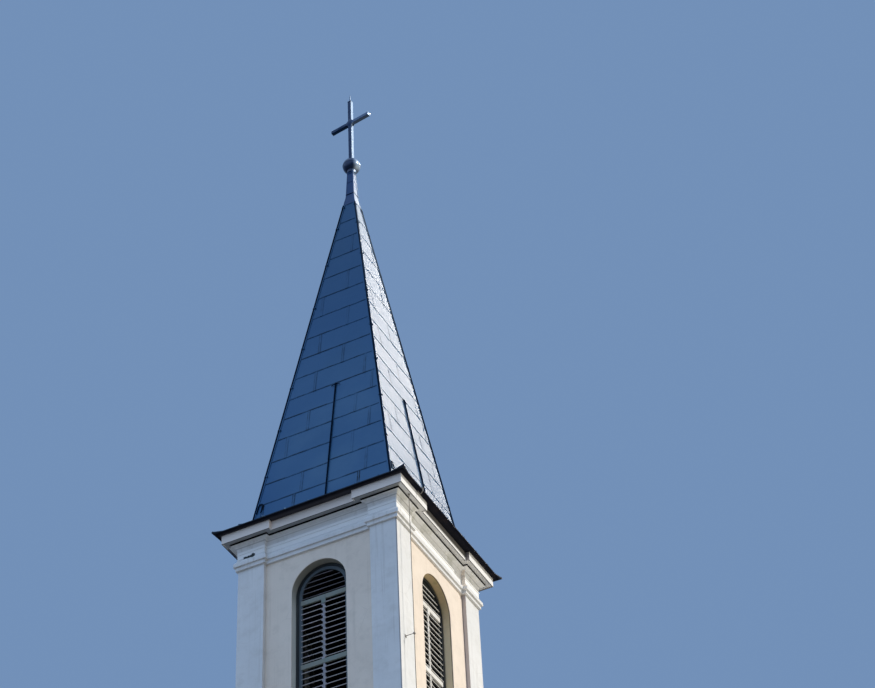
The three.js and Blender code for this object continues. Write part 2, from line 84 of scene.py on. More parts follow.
# Studio: a round pale floor and a plain surround, blue above and warmer towards the right. A warm key
# light falls on the right side, one from behind skims the right slope, and two broad ones fill in.
FLOOR_RADIUS, FLOOR_DROP, FLOOR_SIDES = 9.0, 0.004, 96


def circle(radius, height, count):
    """Points round the tower's axis."""
    turns = [2 * math.pi * k / count for k in range(count)]
    return [(radius * math.cos(t), radius * math.sin(t), height) for t in turns]


class Tone:
    """A value or colour on its way through a finish. Arithmetic on it adds Math nodes."""

    def __init__(self, tree, socket=None):
        self.tree = tree
        self.socket = socket

    def node(self, kind, settings, sockets, output=0):
        """Adds one node: its settings first, then the values or links of its sockets."""
        made = self.tree.nodes.new("ShaderNode" + kind)
        for name, value in settings.items():
            setattr(made, name, value)
        for socket, value in sockets.items():
            if isinstance(value, Tone):
                self.tree.links.new(value.socket, made.inputs[socket])
            else:
                made.inputs[socket].default_value = value
        return Tone(self.tree, made.outputs[output] if made.outputs else None)

    def math(self, operation, first, second):
        return self.node("Math", {"operation": operation}, {0: first, 1: second})

    def __add__(self, other):
        return self.math("ADD", self, other)

    __radd__ = __add__

    def __sub__(self, other):
        return self.math("SUBTRACT", self, other)

    def __rsub__(self, other):
        return self.math("SUBTRACT", other, self)

    def __mul__(self, other):
        return self.math("MULTIPLY", self, other)

    def ramp(self, low, high, course="SMOOTHSTEP"):
        """0 below low and 1 above high, smooth between."""
        return self.node("MapRange", {"interpolation_type": course},
                         {"Value": self, "From Min": low, "From Max": high})

    def band(self, low, high, soft):
        """1 between low and high, with soft edges."""
        return self.ramp(low - soft, low + soft) * (1 - self.ramp(high - soft, high + soft))

    def tint(self, bare, covered):
        """Mixes two colours by this value."""
        first, second = [(*c, 1.0) if isinstance(c, tuple) else c for c in (bare, covered)]
        return self.node("Mix", {"data_type": "RGBA"}, {0: self, 6: first, 7: second}, 2)

    def under(self, *coats):
        """This colour under one coat after another, each an amount and a colour."""
        colour = self
        for amount, covering in coats:
            colour = amount.tint(colour, covering)
        return colour

    def stretched(self, x, y, z):
        """This place, scaled along each axis."""
        return self.node("VectorMath", {"operation": "MULTIPLY"}, {0: self, 1: (x, y, z)})

    def moved(self, x, y, z):
        """This place, shifted along each axis."""
        shift = self.node("CombineXYZ", {}, {0: x, 1: y, 2: z})
        return self.node("VectorMath", {"operation": "ADD"}, {0: self, 1: shift})

    def noise(self, scale, detail=3.0, rough=0.5):
        return self.node("TexNoise", {}, {"Vector": self, "Scale": scale, "Detail": detail,
                                          "Roughness": rough})

    def along(self, axis):
        """One coordinate of this place."""
        return self.node("SeparateXYZ", {}, {0: self}, "XYZ".index(axis))

    def sunlit(self):
        """1 where this place is on the tower's right side or back, 0 on its front or left side."""
        return (self.along("X") + self.along("Y")).ramp(-0.05, 0.05)

    def facing(self, axis):
        """How far the surface looks along an axis."""
        return self.node("TexCoord", {}, {}, 1).along(axis)

    def mark(self, name):
        """What the maker painted on the points of the piece under this name."""
        return self.node("Attribute", {"attribute_name": name}, {}, 2)

    def relief(self, depth, under=None):
        """A bump of this depth in metres, laid over another one."""
        sockets = {"Height": self, "Distance": depth}
        if under is not None:
            sockets["Normal"] = under
        return self.node("Bump", {}, sockets)


floor_mesh = bpy.data.meshes.new("studio_floor")
floor_mesh.from_pydata(circle(FLOOR_RADIUS, -FLOOR_DROP, FLOOR_SIDES), [], [list(range(FLOOR_SIDES))])
floor = bpy.data.objects.new("studio_floor", floor_mesh)
bpy.context.scene.collection.objects.link(floor)
floor_paint = bpy.data.materials.new("studio_floor")
floor_paint.use_nodes = True
floor_look = floor_paint.node_tree.nodes["Principled BSDF"].inputs
floor_look["Base Color"].default_value = (0.6, 0.61, 0.62, 1)
floor_look["Roughness"].default_value = 0.9
floor_mesh.materials.append(floor_paint)
floor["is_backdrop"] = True

surround = bpy.data.worlds.new("studio")
surround.use_nodes = True
direction = Tone(surround.node_tree).node("TexCoord", {}, {})
rightward = direction.node("VectorMath", {"operation": "DOT_PRODUCT"},
                           {0: direction, 1: (0.86, 0.50, 0.0)}, 1)
blue = direction.along("Z").ramp(-0.2, 0.24, "LINEAR").tint((0.10, 0.115, 0.14), (0.17, 0.28, 0.48))
backdrop = rightward.ramp(0.3, 1.0, "LINEAR").tint(blue, (0.46, 0.45, 0.39))
surround.node_tree.links.new(backdrop.socket, surround.node_tree.nodes["Background"].inputs["Color"])
bpy.context.scene.world = surround
bpy.context.scene.view_settings.view_transform = "Standard"

LAMPS = (("key", (0.743, 0.223, 0.631), 2.80, 4, (1.0, 0.97, 0.93)),
         ("rim", (0.120, 0.674, 0.729), 0.62, 6, (1.0, 0.93, 0.84)),
         ("fill", (-0.25, -0.72, 0.65), 1.22, 100, (0.55, 0.72, 1.0)),
         ("bounce", (0.77, 0.30, -0.56), 0.70, 50, (1.0, 0.87, 0.66)))
for name, towards, strength, spread, colour in LAMPS:
    lamp = bpy.data.lights.new(name, "SUN")
    lamp.energy = strength
    lamp.angle = math.radians(spread)
    lamp.color = colour
    lamp_stand = bpy.data.objects.new(name, lamp)
    lamp_stand.matrix_world = Vector(towards).to_track_quat("Z", "Y").to_matrix().to_4x4()
    bpy.context.scene.collection.objects.link(lamp_stand)


# Plinth: brickwork under a hard grey cement render, trowelled on, with a weathered top edge.
# Splashed earth darkens its foot.
WALL_FACE, WALL_BACK, PIER_FACE, RUN_FACE = 2.0, 1.66, 2.1, 2.3
FRAME_FRONT = -1.79
FRIEZE_FOOT, COVE_TOP, FASCIA_FOOT = 16.09, 16.45, 16.48


def open_finish(name):
    """An empty material, and the place on the piece in metres as its first value."""
    finish = bpy.data.materials.new(name)
    finish.use_nodes = True
    finish.node_tree.nodes.clear()
    return finish, Tone(finish.node_tree).node("TexCoord", {}, {}, 3)


def close_finish(finish, colour, roughness, relief, **constants):
    """Puts the worked-out values, and constants straight onto their sockets, into the shader."""
    sockets = {"Base Color": colour, "Roughness": roughness, "Normal": relief}
    sockets.update({name.replace("_", " "): value for name, value in constants.items()})
    shader = colour.node("BsdfPrincipled", {}, sockets)
    colour.node("OutputMaterial", {}, {"Surface": shader})
    return finish


def dyed(colour, *shares):
    """A colour with its parts scaled, all by one share or each by its own."""
    return tuple(share * part for share, part in zip(shares * 3, colour))


def render_coat(name, body, faded, grime, streaks, grain, foot_dirt=0.0):
    """Trowelled render: uneven in tone, with rain streaks, hair cracks and sandy grain. Painted shade
    darkens undersides, grooves, reveals, arch heads and inner corners, and the bare brick inside is
    painted black as shade. The frieze is painted lighter as painted light, and reveals are greenish
    grey on the shaded sides and brownish on the sunny ones, partly stain and partly their shade's colour."""
    finish, place = open_finish(name)
    x, y, height = place.along("X"), place.along("Y"), place.along("Z")
    reach, depth = place.math("ABSOLUTE", x, 0.0), place.math("ABSOLUTE", y, 0.0)
    from_axis, aside = place.math("MAXIMUM", reach, depth), place.math("MINIMUM", reach, depth)
    sunny = place.sunlit()
    downward = 0 - place.facing("Z")
    upright = 1 - downward.ramp(0.1, 0.3)
    on_fascia = height.ramp(FASCIA_FOOT - 0.005, FASCIA_FOOT + 0.005) * upright
    cloud = place.noise(0.8, 5.0, 0.6).ramp(0.3, 0.7)
    patch = place.noise(3.1, 4.0, 0.65).ramp(0.45, 0.75)
    dirt = place.noise(2.2, 4.0, 0.6).ramp(0.3, 0.6) * 0.5 + 0.5

    run = place.stretched(10.0, 10.0, 0.25).noise(1.0, 4.0, 0.6).ramp(0.49, 0.70)
    weave = place.stretched(1.0, 1.0, 0.4).noise(1.7, 2.0).ramp(0.35, 0.7)
    drift = place.node("TexNoise", {}, {"Vector": place, "Scale": 1.3, "Detail": 4.0}, 1)
    wander = place.node("Mix", {"data_type": "VECTOR"}, {0: 0.18, 4: place, 5: drift}, 1)
    cracks = wander.node("TexVoronoi", {"feature": "DISTANCE_TO_EDGE"}, {"Vector": wander, "Scale": 0.75})
    crack = (1 - cracks.ramp(0.0015, 0.006)) * place.noise(0.55, 2.0).ramp(0.52, 0.62)
    colour = cloud.tint(body, faded).under((patch * 0.22, grime), (run * weave * streaks, grime),
                                           (crack * 0.11, dyed(grime, 0.45)))

    # Painted light: the frieze band is painted lighter, and on the sunny sides the cove above it too, where
    # light falls.
    painted_light_band = height.band(FRIEZE_FOOT - 0.01, COVE_TOP + 0.01, 0.01) * (sunny + 1 - height.ramp(16.27, 16.29))
    # Painted shadow: a thin dark line across the cove, under a moulding step.
    cut = height.band(16.372, 16.394, 0.004) * from_axis.band(2.05, 2.25, 0.01)
    moss = place.noise(2.6, 5.0, 0.7).ramp(0.56, 0.74) * height.ramp(16.05, 16.25) * (1 - sunny)
    ragged = height + place.noise(14.0, 3.0, 0.7) * 0.07 - x.ramp(-1.80, -1.70) * 0.012 - 16.11
    ragged = ragged * (1 - x.band(-1.735, -1.665, 0.010) * 0.45)
    chipped = ragged.band(-0.032, 0.032, 0.004) * x.band(-1.95, -1.64, 0.012) * (1 - y.ramp(-2.06, -2.05))
    colour = colour.under((painted_light_band, (0.93, 0.92, 0.89)), (cut * 0.4, (0.22, 0.21, 0.20)),
                          (moss * 0.16, (0.40, 0.44, 0.34)), (chipped, (0.045, 0.055, 0.055)))

    left_run = (1 - x.ramp(-2.13, -2.115)) * y.ramp(-2.20, -2.10)
    # Painted shade: faces that look down are darkened, most of all above the cove, bluish grey on the shaded
    # sides and brown on the sunny ones.
    under = downward.ramp(0.35, 0.95) * from_axis.ramp(WALL_FACE - 0.01, WALL_FACE + 0.02)
    under = under * (0.16 + height.ramp(FASCIA_FOOT - 0.01, FASCIA_FOOT + 0.015) * 0.54) * (1 - left_run)
    # Painted light and shade: the fascia is painted warm cream on the shaded sides and near white on the
    # sunny ones, as lit and shaded versions of one paint.
    fascia = on_fascia * (1 - sunny) * from_axis.ramp(RUN_FACE - 0.02, RUN_FACE - 0.01)
    # Painted shadow: on the sunny sides the upper fascia under the eave boards is painted dark where their
    # shadow falls.
    eave_shadow = height.ramp(FASCIA_FOOT + 0.085, FASCIA_FOOT + 0.110) * sunny * upright
    eave_shadow = eave_shadow * from_axis.band(RUN_FACE - 0.015, RUN_FACE + 0.015, 0.004)
    arris = x.ramp(PIER_FACE - 0.032, PIER_FACE - 0.026) * (1 - y.ramp(0.004 - PIER_FACE, 0.010 - PIER_FACE))
    arris = arris * (1 - from_axis.ramp(PIER_FACE + 0.002, PIER_FACE + 0.006))
    # Painted shadow: the underside of the drip lip is painted nearly black.
    lip_shadow = (from_axis - aside.ramp(1.095, 1.105) * 0.1).band(RUN_FACE - 0.028, RUN_FACE - 0.001, 0.002)
    lip_shadow = lip_shadow * height.band(FASCIA_FOOT - 0.01, FASCIA_FOOT + 0.01, 0.003) * downward.ramp(0.5, 0.9)
    # Painted shade: the groove under the cornice and the slot beside the cove are painted nearly black, as
    # the shade in them.
    groove_shadow = height.band(16.504, 16.590, 0.003) * from_axis.band(2.015, 2.270, 0.005)
    slot_shadow = (from_axis - aside.ramp(1.244, 1.252) * 0.1).band(2.12, 2.166, 0.003)
    slot_shadow = slot_shadow * height.band(16.456, 16.503, 0.002) * (0.9 - sunny * 0.1)
    # Painted shade: the left end's soffit edge is painted dark blue.
    far_edge_shade = (1 - x.ramp(-2.350, -2.340)) * height.band(16.47, 16.51, 0.003) * (1 - upright) * left_run
    colour = colour.under((under * (1 - sunny * 0.90), sunny.tint((0.085, 0.105, 0.125), (0.16, 0.12, 0.10))),
                          (fascia * 0.85, (0.90, 0.79, 0.70)), (on_fascia * sunny * 0.7, (0.93, 0.91, 0.88)),
                          (eave_shadow * 0.85, (0.07, 0.06, 0.05)), (arris * 0.6, (0.15, 0.14, 0.16)),
                          (lip_shadow * 0.8, (0.02, 0.02, 0.02)), (groove_shadow + slot_shadow, (0.006, 0.005, 0.005)),
                          (far_edge_shade * 0.9, (0.02, 0.03, 0.06)))

    # Painted shade mottled by dirt: on the sunny sides the inner corner between pilaster and wall panel is
    # darkened brown.
    corner = aside.band(1.374, 1.402, 0.006) * from_axis.band(1.990, 2.015, 0.003) * sunny * dirt
    # Painted shade: on the sunny sides the pilasters' returns that face away from the sun are darkened warm.
    return_shade = aside.band(1.396, 1.404, 0.002) * from_axis.band(2.004, 2.097, 0.002) * sunny
    # Painted light and shade: on the right side the entablature's returns facing the front are painted warm
    # below the cove, as bounced light, and dark above it, as shadow.
    step = (0 - place.facing("Y")).ramp(0.6, 0.9) * x.ramp(2.02, 2.03) * y.ramp(-1.9, -1.8)
    step = step * height.ramp(15.90, 15.95)
    above_cove = height.ramp(FASCIA_FOOT - 0.01, FASCIA_FOOT + 0.01)
    return_bounce_and_shade = above_cove.tint((0.93, 0.80, 0.66), (0.34, 0.29, 0.27))
    olive = place.noise(1.9, 4.0, 0.65).ramp(0.50, 0.62) * height.band(16.26, 16.46, 0.02) * sunny
    # Painted shade: the reveals darken towards the arch heads. Their colour is partly stain and partly the
    # colour of their shade: greenish grey on the shaded sides, brown on the sunny ones.
    arch_shade = height.ramp(14.0, 15.25)
    shady_reveal = arch_shade.tint((0.88, 0.86, 0.76), (0.34, 0.32, 0.26))
    sunny_reveal = arch_shade.tint((0.95, 0.79, 0.52), (0.66, 0.50, 0.28))
    sunny_reveal = (patch * arch_shade * 0.6).tint(sunny_reveal, (0.26, 0.29, 0.12))
    # Painted shade mottled by dirt: a dark brown band just inside the openings on the sunny sides.
    mouth_shade = from_axis.band(WALL_FACE - 0.032, WALL_FACE - 0.010, 0.003) * sunny * dirt
    # Painted shade: the reveal darkens towards the louvre frames.
    frame_shade = 1 - from_axis.ramp(-FRAME_FRONT - 0.005, -FRAME_FRONT + 0.035)
    colour = colour.under((corner * 0.75, (0.20, 0.12, 0.08)), (return_shade * 0.6, (0.50, 0.39, 0.34)),
                          (step * 0.9, return_bounce_and_shade), (olive * 0.35, (0.46, 0.46, 0.34)),
                          (1 - from_axis.ramp(WALL_FACE - 0.025, WALL_FACE - 0.005),
                           sunny.tint(shady_reveal, sunny_reveal)),
                          (mouth_shade * 0.85, (0.12, 0.07, 0.04)), (frame_shade * 0.60, (0.06, 0.055, 0.05)),
                          # Painted shade: the bare brick inside the walls is painted nearly black.
                          (1 - from_axis.ramp(WALL_BACK - 0.005, WALL_BACK + 0.005), (0.003, 0.003, 0.006)))
    if foot_dirt:
        splashed = 1 - (height + place.noise(1.6, 4.0) * 0.5).ramp(0.1, 0.75)
        colour = (splashed * foot_dirt).tint(colour, (0.12, 0.10, 0.075))
    trowelled = place.stretched(1.0, 1.0, 1.6).noise(2.4, 3.0, 0.5).relief(0.012)
    sandy = place.noise(grain, 3.0, 0.7).relief(0.0016, trowelled)
    roughness = 0.82 + place.noise(5.0) * 0.14
    return close_finish(finish, colour, roughness, sandy, Specular_IOR_Level=0.25)


def soften(piece, width, degrees):
    """Takes the sharpness off the edges of a piece."""
    softened = piece.modifiers.new("edges", "BEVEL")
    softened.width = width
    softened.segments = 2
    softened.limit_method = "ANGLE"
    softened.angle_limit = math.radians(degrees)


def dress(node, finish, edge=0.008):
    """Gives a bare piece of the tower its finish and its softened edges."""
    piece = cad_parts[node]
    for bed in piece.material_slots:
        bed.material = finish
    if edge:
        weld = piece.modifiers.new("weld", "WELD")
        weld.merge_threshold = 0.00005
        soften(piece, edge, 28)


plinth_render = render_coat("plinth_render", (0.42, 0.41, 0.39), (0.34, 0.33, 0.31),
                            (0.16, 0.15, 0.13), 0.35, 60.0, 0.6)
dress("plinth", plinth_render, 0.012)


# Floors: sawn softwood boards laid side by side from wall to wall, worn and dusty. The ground floor
# shows only as the threshold under the door, and the others lie inside the shaft.
def board_finish(name, pale, dark, width, gap_dark):
    """Sawn boards side by side along Y, each with its own grain."""
    finish, place = open_finish(name)
    across = place.along("X") * (1 / width)
    count = across.node("Math", {"operation": "FLOOR"}, {0: across})
    own = place.moved(count * 3.7, count * 1.9, 0.0)
    grain = own.stretched(26.0, 1.4, 26.0).noise(1.0, 5.0, 0.6)
    knots = own.stretched(9.0, 2.2, 9.0).noise(1.0, 2.0).ramp(0.62, 0.75)
    joint = 1 - (across - count).band(0.02, 0.98, 0.012)
    colour = grain.ramp(0.3, 0.7).tint(pale, dark)
    colour = colour.under((knots * 0.5, dyed(dark, 0.5)), (joint * 0.9, gap_dark))
    return close_finish(finish, colour, 0.7 + grain * 0.2, (grain * 0.25 - joint).relief(0.004))


floor_boards = board_finish("floor_boards", (0.40, 0.33, 0.25), (0.25, 0.19, 0.13), 0.16,
                            (0.03, 0.025, 0.02))
for node in ("ground_floor", "upper_floor", "belfry_floor"):
    dress(node, floor_boards, 0.006)


# Shaft: brick walls under lime render. The four corner pilasters, the string course and the mouldings
# are finished off-white, and the wall panels between them in a warmer cream.
trim_render = render_coat("trim_render", (0.80, 0.79, 0.765), (0.74, 0.735, 0.715),
                          (0.46, 0.43, 0.38), 0.42, 90.0, 0.25)
field_render = render_coat("field_render", (0.865, 0.75, 0.625), (0.82, 0.705, 0.585),
                           (0.47, 0.40, 0.32), 0.28, 75.0, 0.25)
SIDES = ("front", "right", "back", "left")
CORNERS = ("front_right", "back_right", "back_left", "front_left")
for stage, corner in product(("lower", "belfry"), CORNERS):
    dress(f"{stage}_pilaster_{corner}", trim_render)
for stage, side in product(("lower", "belfry"), SIDES):
    dress(f"{stage}_wall_{side}", field_render)
dress("string_course", trim_render)
for node in ("architrave", "frieze", "cornice"):
    dress(node, trim_render, 0.005)


# Belfry louvres: in each window a fixed round-headed frame holds a pair of shutters with tilted slats,
# a middle and a top rail, and two stiles with a cleat at each slat and a plate on top. Dark paint on
# the frame, and weathered grey on the rest. The slats' outer edges are painted lighter as painted light.
# On the right and back the rails, sill, post and slat edges are bleached and painted near white as
# sunlit, and the shutter frames as dark as the fixed frame as painted shade; on the front and left the
# head slats are painted darker as painted shade.
class Work:
    """One piece while it is cut, bent and put together: points, faces, and marks painted on them."""

    def __init__(self, seed=0):
        self.points = []
        self.faces = []
        self.coats = []
        self.tones = []
        self.joints = []
        self.chance = random.Random(seed)

    def put(self, points, faces, coat=0, tone=0.0, joints=0.0):
        first = len(self.points)
        self.points += [tuple(point) for point in points]
        self.faces += [[first + corner for corner in face] for face in faces]
        self.coats += [coat] * len(faces)
        self.tones += [tone] * len(points)
        self.joints += joints if isinstance(joints, list) else [joints] * len(points)

    def block(self, low, high, coat=0, tone=0.0):
        """A squared length of material between two corners."""
        sides = [(0, 1, 3, 2), (4, 6, 7, 5), (0, 4, 5, 1), (2, 3, 7, 6), (0, 2, 6, 4), (1, 5, 7, 3)]
        self.put(list(product(*zip(low, high))), sides, coat, tone)

    def skin(self, rows, ring=False, loop=False, caps=False, coat=0, tone=0.0, joints=0.0):
        """Faces between rows of points. ring closes each row, loop joins the last row to the first."""
        width, count = len(rows[0]), len(rows)
        faces = []
        for r in range(count if loop else count - 1):
            for c in range(width if ring else width - 1):
                here, there = r * width, (r + 1) % count * width
                faces.append((here + c, here + (c + 1) % width, there + (c + 1) % width, there + c))
        if caps and ring:
            faces += [tuple(range(width)), tuple(range((count - 1) * width, count * width))[::-1]]
        if caps and loop:
            faces += [tuple(range(0, count * width, width)),
                      tuple(range(width - 1, count * width, width))[::-1]]
        self.put([point for row in rows for point in row], faces, coat, tone, joints)

    def bar(self, rows, coat=0, tone=0.0, sides=(), side_coat=1):
        """A solid length of material: rows of points round it, closed at both ends. Some of its sides
        may have a coat of their own."""
        first, around = len(self.coats), len(rows[0])
        self.skin(rows, ring=True, caps=True, coat=coat, tone=tone)
        for face in range(around * (len(rows) - 1)):
            if face % around in sides:
                self.coats[first + face] = side_coat

    def tube(self, path, radius, sides=10, coat=0, tone=0.0):
        """A round rod along a path of points, with closed ends."""
        path = [Vector(point) for point in path]
        rows = []
        side = None
        for k, point in enumerate(path):
            run = (path[min(k + 1, len(path) - 1)] - path[max(k - 1, 0)]).normalized()
            if side is None:
                side = run.orthogonal().normalized()
            side = (side - run * side.dot(run)).normalized()
            other = run.cross(side)
            thick = radius[k] if isinstance(radius, list) else radius
            rows.append([point + side * x + other * y for x, y, _ in circle(thick, 0, sides)])
        self.bar(rows, coat, tone)


QUARTERS = ((1, 0), (0, 1), (-1, 0), (0, -1))
SUNNY_TURNS = (1, 2)


def make(name, work, finishes, stands_for=None, edge=0.0, smooth=35, turn=0):
    """Turns finished work into a piece of the tower, a number of quarter turns from the front."""
    cosine, sine = QUARTERS[turn]
    mesh = bpy.data.meshes.new(name)
    mesh.from_pydata([(cosine * x - sine * y, sine * x + cosine * y, z) for x, y, z in work.points],
                     [], work.faces)
    mesh.polygons.foreach_set("material_index", work.coats)
    for mark, values in (("tone", work.tones), ("joint", work.joints)):
        mesh.attributes.new(mark, "FLOAT", "POINT").data.foreach_set("value", values)
    shaped = bmesh.new()
    shaped.from_mesh(mesh)
    bmesh.ops.recalc_face_normals(shaped, faces=shaped.faces)
    shaped.to_mesh(mesh)
    shaped.free()
    mesh.shade_smooth()
    mesh.set_sharp_from_angle(angle=math.radians(smooth))
    for finish in finishes:
        mesh.materials.append(finish)
    piece = bpy.data.objects.new(name, mesh)
    bpy.context.scene.collection.objects.link(piece)
    if edge:
        soften(piece, edge, 45)
    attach(piece, "root")
    if stands_for:
        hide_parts(stands_for)


def old_paint(name, paint, bare, wear, grime):
    """Brushed paint on sawn wood, worn to grey grain, with dust. Each board has its own tone."""
    finish, place = open_finish(name)
    tone = place.mark("tone")
    own = place.moved(tone * 13.0, tone * 7.0, tone * 29.0)
    grain = own.stretched(3.0, 34.0, 34.0).noise(1.0, 4.0, 0.6)
    brush = own.stretched(5.0, 60.0, 60.0).noise(1.0, 2.0)
    worn = (own.noise(4.5, 5.0, 0.7) + grain * 0.35).ramp(0.78 - 0.3 * wear, 0.95 - 0.3 * wear)
    dusty = place.noise(1.7, 4.0, 0.6).ramp(0.45, 0.8) * grime
    colour = (tone * 0.5 + brush * 0.3).tint(paint, dyed(paint, 0.72))
    colour = colour.under((worn, bare), (dusty, (0.10, 0.095, 0.085)))
    height = grain * 0.5 - worn * 0.35 + brush * 0.12
    return close_finish(finish, colour, 0.55 + worn * 0.3 + grain * 0.08, height.relief(0.0016))


frame_paint = old_paint("frame_paint", (0.012, 0.017, 0.019), (0.035, 0.040, 0.038), 0.25, 0.3)
leaf_paint = old_paint("leaf_paint", (0.080, 0.110, 0.130), (0.11, 0.125, 0.13), 0.5, 0.35)
rail_paint = old_paint("rail_paint", (0.21, 0.255, 0.22), (0.25, 0.26, 0.22), 0.8, 0.25)
post_paint = old_paint("post_paint", (0.43, 0.41, 0.47), (0.34, 0.33, 0.34), 0.8, 0.25)
slat_paint = old_paint("slat_paint", (0.26, 0.27, 0.28), (0.20, 0.195, 0.18), 0.9, 0.35)
# Painted light: the slats' outer edges are painted lighter than their faces.
edge_light_paint = old_paint("edge_light_paint", (0.66, 0.57, 0.62), (0.48, 0.44, 0.42), 0.9, 0.25)
# Painted shade: the head slats and their edges under the arch are painted darker.
head_slat_shade = old_paint("head_slat_shade", (0.07, 0.075, 0.085), (0.05, 0.05, 0.055), 0.9, 0.35)
head_edge_shade = old_paint("head_edge_shade", (0.21, 0.18, 0.22), (0.15, 0.14, 0.15), 0.9, 0.3)
# Bleached, and painted near white as sunlit.
bleached_sunlit_paint = old_paint("bleached_sunlit_paint", (0.90, 0.89, 0.86), (0.74, 0.71, 0.65), 0.8, 0.15)
FRAME, LEAF, RAIL, SLAT, HEAD_SLAT, POST = 0, 1, 2, 3, 5, 7
SHADY_FINISHES = (frame_paint, leaf_paint, rail_paint, slat_paint, edge_light_paint, head_slat_shade, head_edge_shade,
                  post_paint)
# On the sunny sides the shutter frames take the fixed frame's near black, a painted shade.
SUNNY_FINISHES = (frame_paint, frame_paint, bleached_sunlit_paint, slat_paint, bleached_sunlit_paint, slat_paint,
                  bleached_sunlit_paint, bleached_sunlit_paint)


def arched_frame(work, opening, section, bottom, coat):
    """Carries a section of inset and depth pairs round the opening, from foot to foot."""
    rows = []
    for inset, depth in section:
        reach = opening["half"] - inset
        head = [(-reach * math.cos(bend), opening["spring"] + reach * math.sin(bend))
                for bend in (math.pi * k / 32 for k in range(33))]
        rows.append([(x, FRAME_FRONT + depth, z) for x, z in [(-reach, bottom)] + head + [(reach, bottom)]])
    work.skin(rows, loop=True, caps=True, coat=coat, tone=0.3)


def fit(work, sides, depths, heights, coat=0, tone=0.0):
    """A squared board in an opening, its depths counted inwards from the face of the frame."""
    low, high = zip(sides, [FRAME_FRONT + depth for depth in depths], heights)
    work.block(low, high, coat, tone)


SLAT_PITCH = 0.15
SLAT_TILT = math.radians(38)
SLAT_SECTION = ((-0.0500, -0.0055), (-0.0465, -0.0095), (0.0500, -0.0095), (0.0500, 0.0095),
                (-0.0450, 0.0095), (-0.0500, 0.0040))
SLAT_STEPS = 5


def slat(work, left, right, height, coat=SLAT):
    """One tilted slat, a little warped, with its outer edge planed round."""
    tone = work.chance.random()
    tilt = SLAT_TILT + work.chance.uniform(-0.025, 0.025)
    sag = work.chance.uniform(-0.002, 0.003)
    twist = work.chance.uniform(-0.02, 0.02)
    rows = []
    for part in (step / SLAT_STEPS for step in range(SLAT_STEPS + 1)):
        turn = tilt + twist * (part - 0.5)
        drop = sag * 4 * part * (1 - part)
        rows.append([(left + (right - left) * part,
                      FRAME_FRONT + 0.05 + d * math.cos(turn) - t * math.sin(turn),
                      height - drop + d * math.sin(turn) + t * math.cos(turn)) for d, t in SLAT_SECTION])
    work.bar(rows, coat, tone, (0, 4, 5), coat + 1)


def head_slat(work, opening, reach, height, coat=SLAT):
    """A slat in the round head, cut to the arch."""
    rise = max(0.0, height + 0.038 - opening["spring"])
    half = math.sqrt(reach ** 2 - rise ** 2)
    slat(work, -half, half, height, coat)


def bay(bottom, top):
    """Heights of the slats that fill a bay between two rails."""
    count = round((top - bottom) / SLAT_PITCH)
    return [bottom + (top - bottom) * (k + 0.5) / count for k in range(count)]


SILL_THICKNESS = 0.055


def sill(work, opening):
    """A weathered sill board with a drip nose, in front of and under the frame."""
    half, foot = opening["half"] - 0.0006, opening["sill"]
    section = ((-2.060, 0.014), (-2.052, 0.006), (-2.036, 0.006), (-2.034, 0.012), (-2.028, 0.012),
               (-2.026, 0.0005), (-1.652, 0.0005), (-1.652, 0.058), (-1.795, 0.058), (-2.054, 0.034),
               (-2.060, 0.028))
    work.bar([[(x, y, foot + z) for y, z in section] for x in (-half, -half / 3, half / 3, half)], RAIL, 0.8)


BELFRY_WINDOW = {"half": 0.7097, "sill": 10.95, "spring": 14.69}
RAIL_HALF, HEAD_TOP = 0.06, 15.25
for turn, side in enumerate(SIDES):
    work = Work(40 + turn)
    mid_rail, top_rail, slat_reach, leaf_front = 12.755, 14.500, 0.584, 0.017
    if turn in SUNNY_TURNS:
        mid_rail, top_rail, slat_reach, leaf_front = 12.845, 14.620, 0.637, 0.040
    sill(work, BELFRY_WINDOW)
    foot = BELFRY_WINDOW["sill"] + SILL_THICKNESS
    arched_frame(work, BELFRY_WINDOW, ((0.0, 0.0), (0.059, 0.0), (0.065, 0.007), (0.065, 0.118),
                                       (0.0, 0.118)), foot, FRAME)
    leaf = ((0.069, leaf_front), (0.145, leaf_front), (0.150, leaf_front + 0.005), (0.150, 0.062),
            (0.069, 0.062))
    arched_frame(work, BELFRY_WINDOW, leaf, foot + 0.012, LEAF)
    fit(work, (-0.575, 0.575), (0.010, 0.055), (foot + 0.012, foot + 0.125), RAIL)
    for rail, tone in ((mid_rail, 0.2), (top_rail, 0.55)):
        fit(work, (-0.595, 0.595), (0.008, 0.054), (rail - RAIL_HALF, rail + RAIL_HALF), RAIL, tone)
    for way, cleat_drop in ((-1, 0.078), (1, 0.036)):
        fit(work, (way * 0.0125 - 0.01175, way * 0.0125 + 0.01175), (0.019, 0.059), (foot + 0.02, top_rail),
            POST, 0.4 + 0.2 * way)
        for height in (bay(foot + 0.125, mid_rail - RAIL_HALF)
                       + bay(mid_rail + RAIL_HALF, top_rail - RAIL_HALF)):
            slat(work, way * 0.016, way * slat_reach, height)
            low = height - cleat_drop
            fit(work, sorted((way * 0.022, way * 0.056)), (0.014, 0.034), (low, low + 0.055), POST, 0.2)
    fit(work, (-0.056, 0.056), (0.002, 0.014), (top_rail - 0.18, top_rail + 0.05), RAIL, 0.9)
    for height in bay(top_rail + RAIL_HALF, HEAD_TOP):
        head_slat(work, BELFRY_WINDOW, slat_reach, height, HEAD_SLAT)
    make(f"belfry_shutter_{side}", work, SUNNY_FINISHES if turn in SUNNY_TURNS else SHADY_FINISHES,
         f"belfry_louvre_{side}", 0.0025, turn=turn)


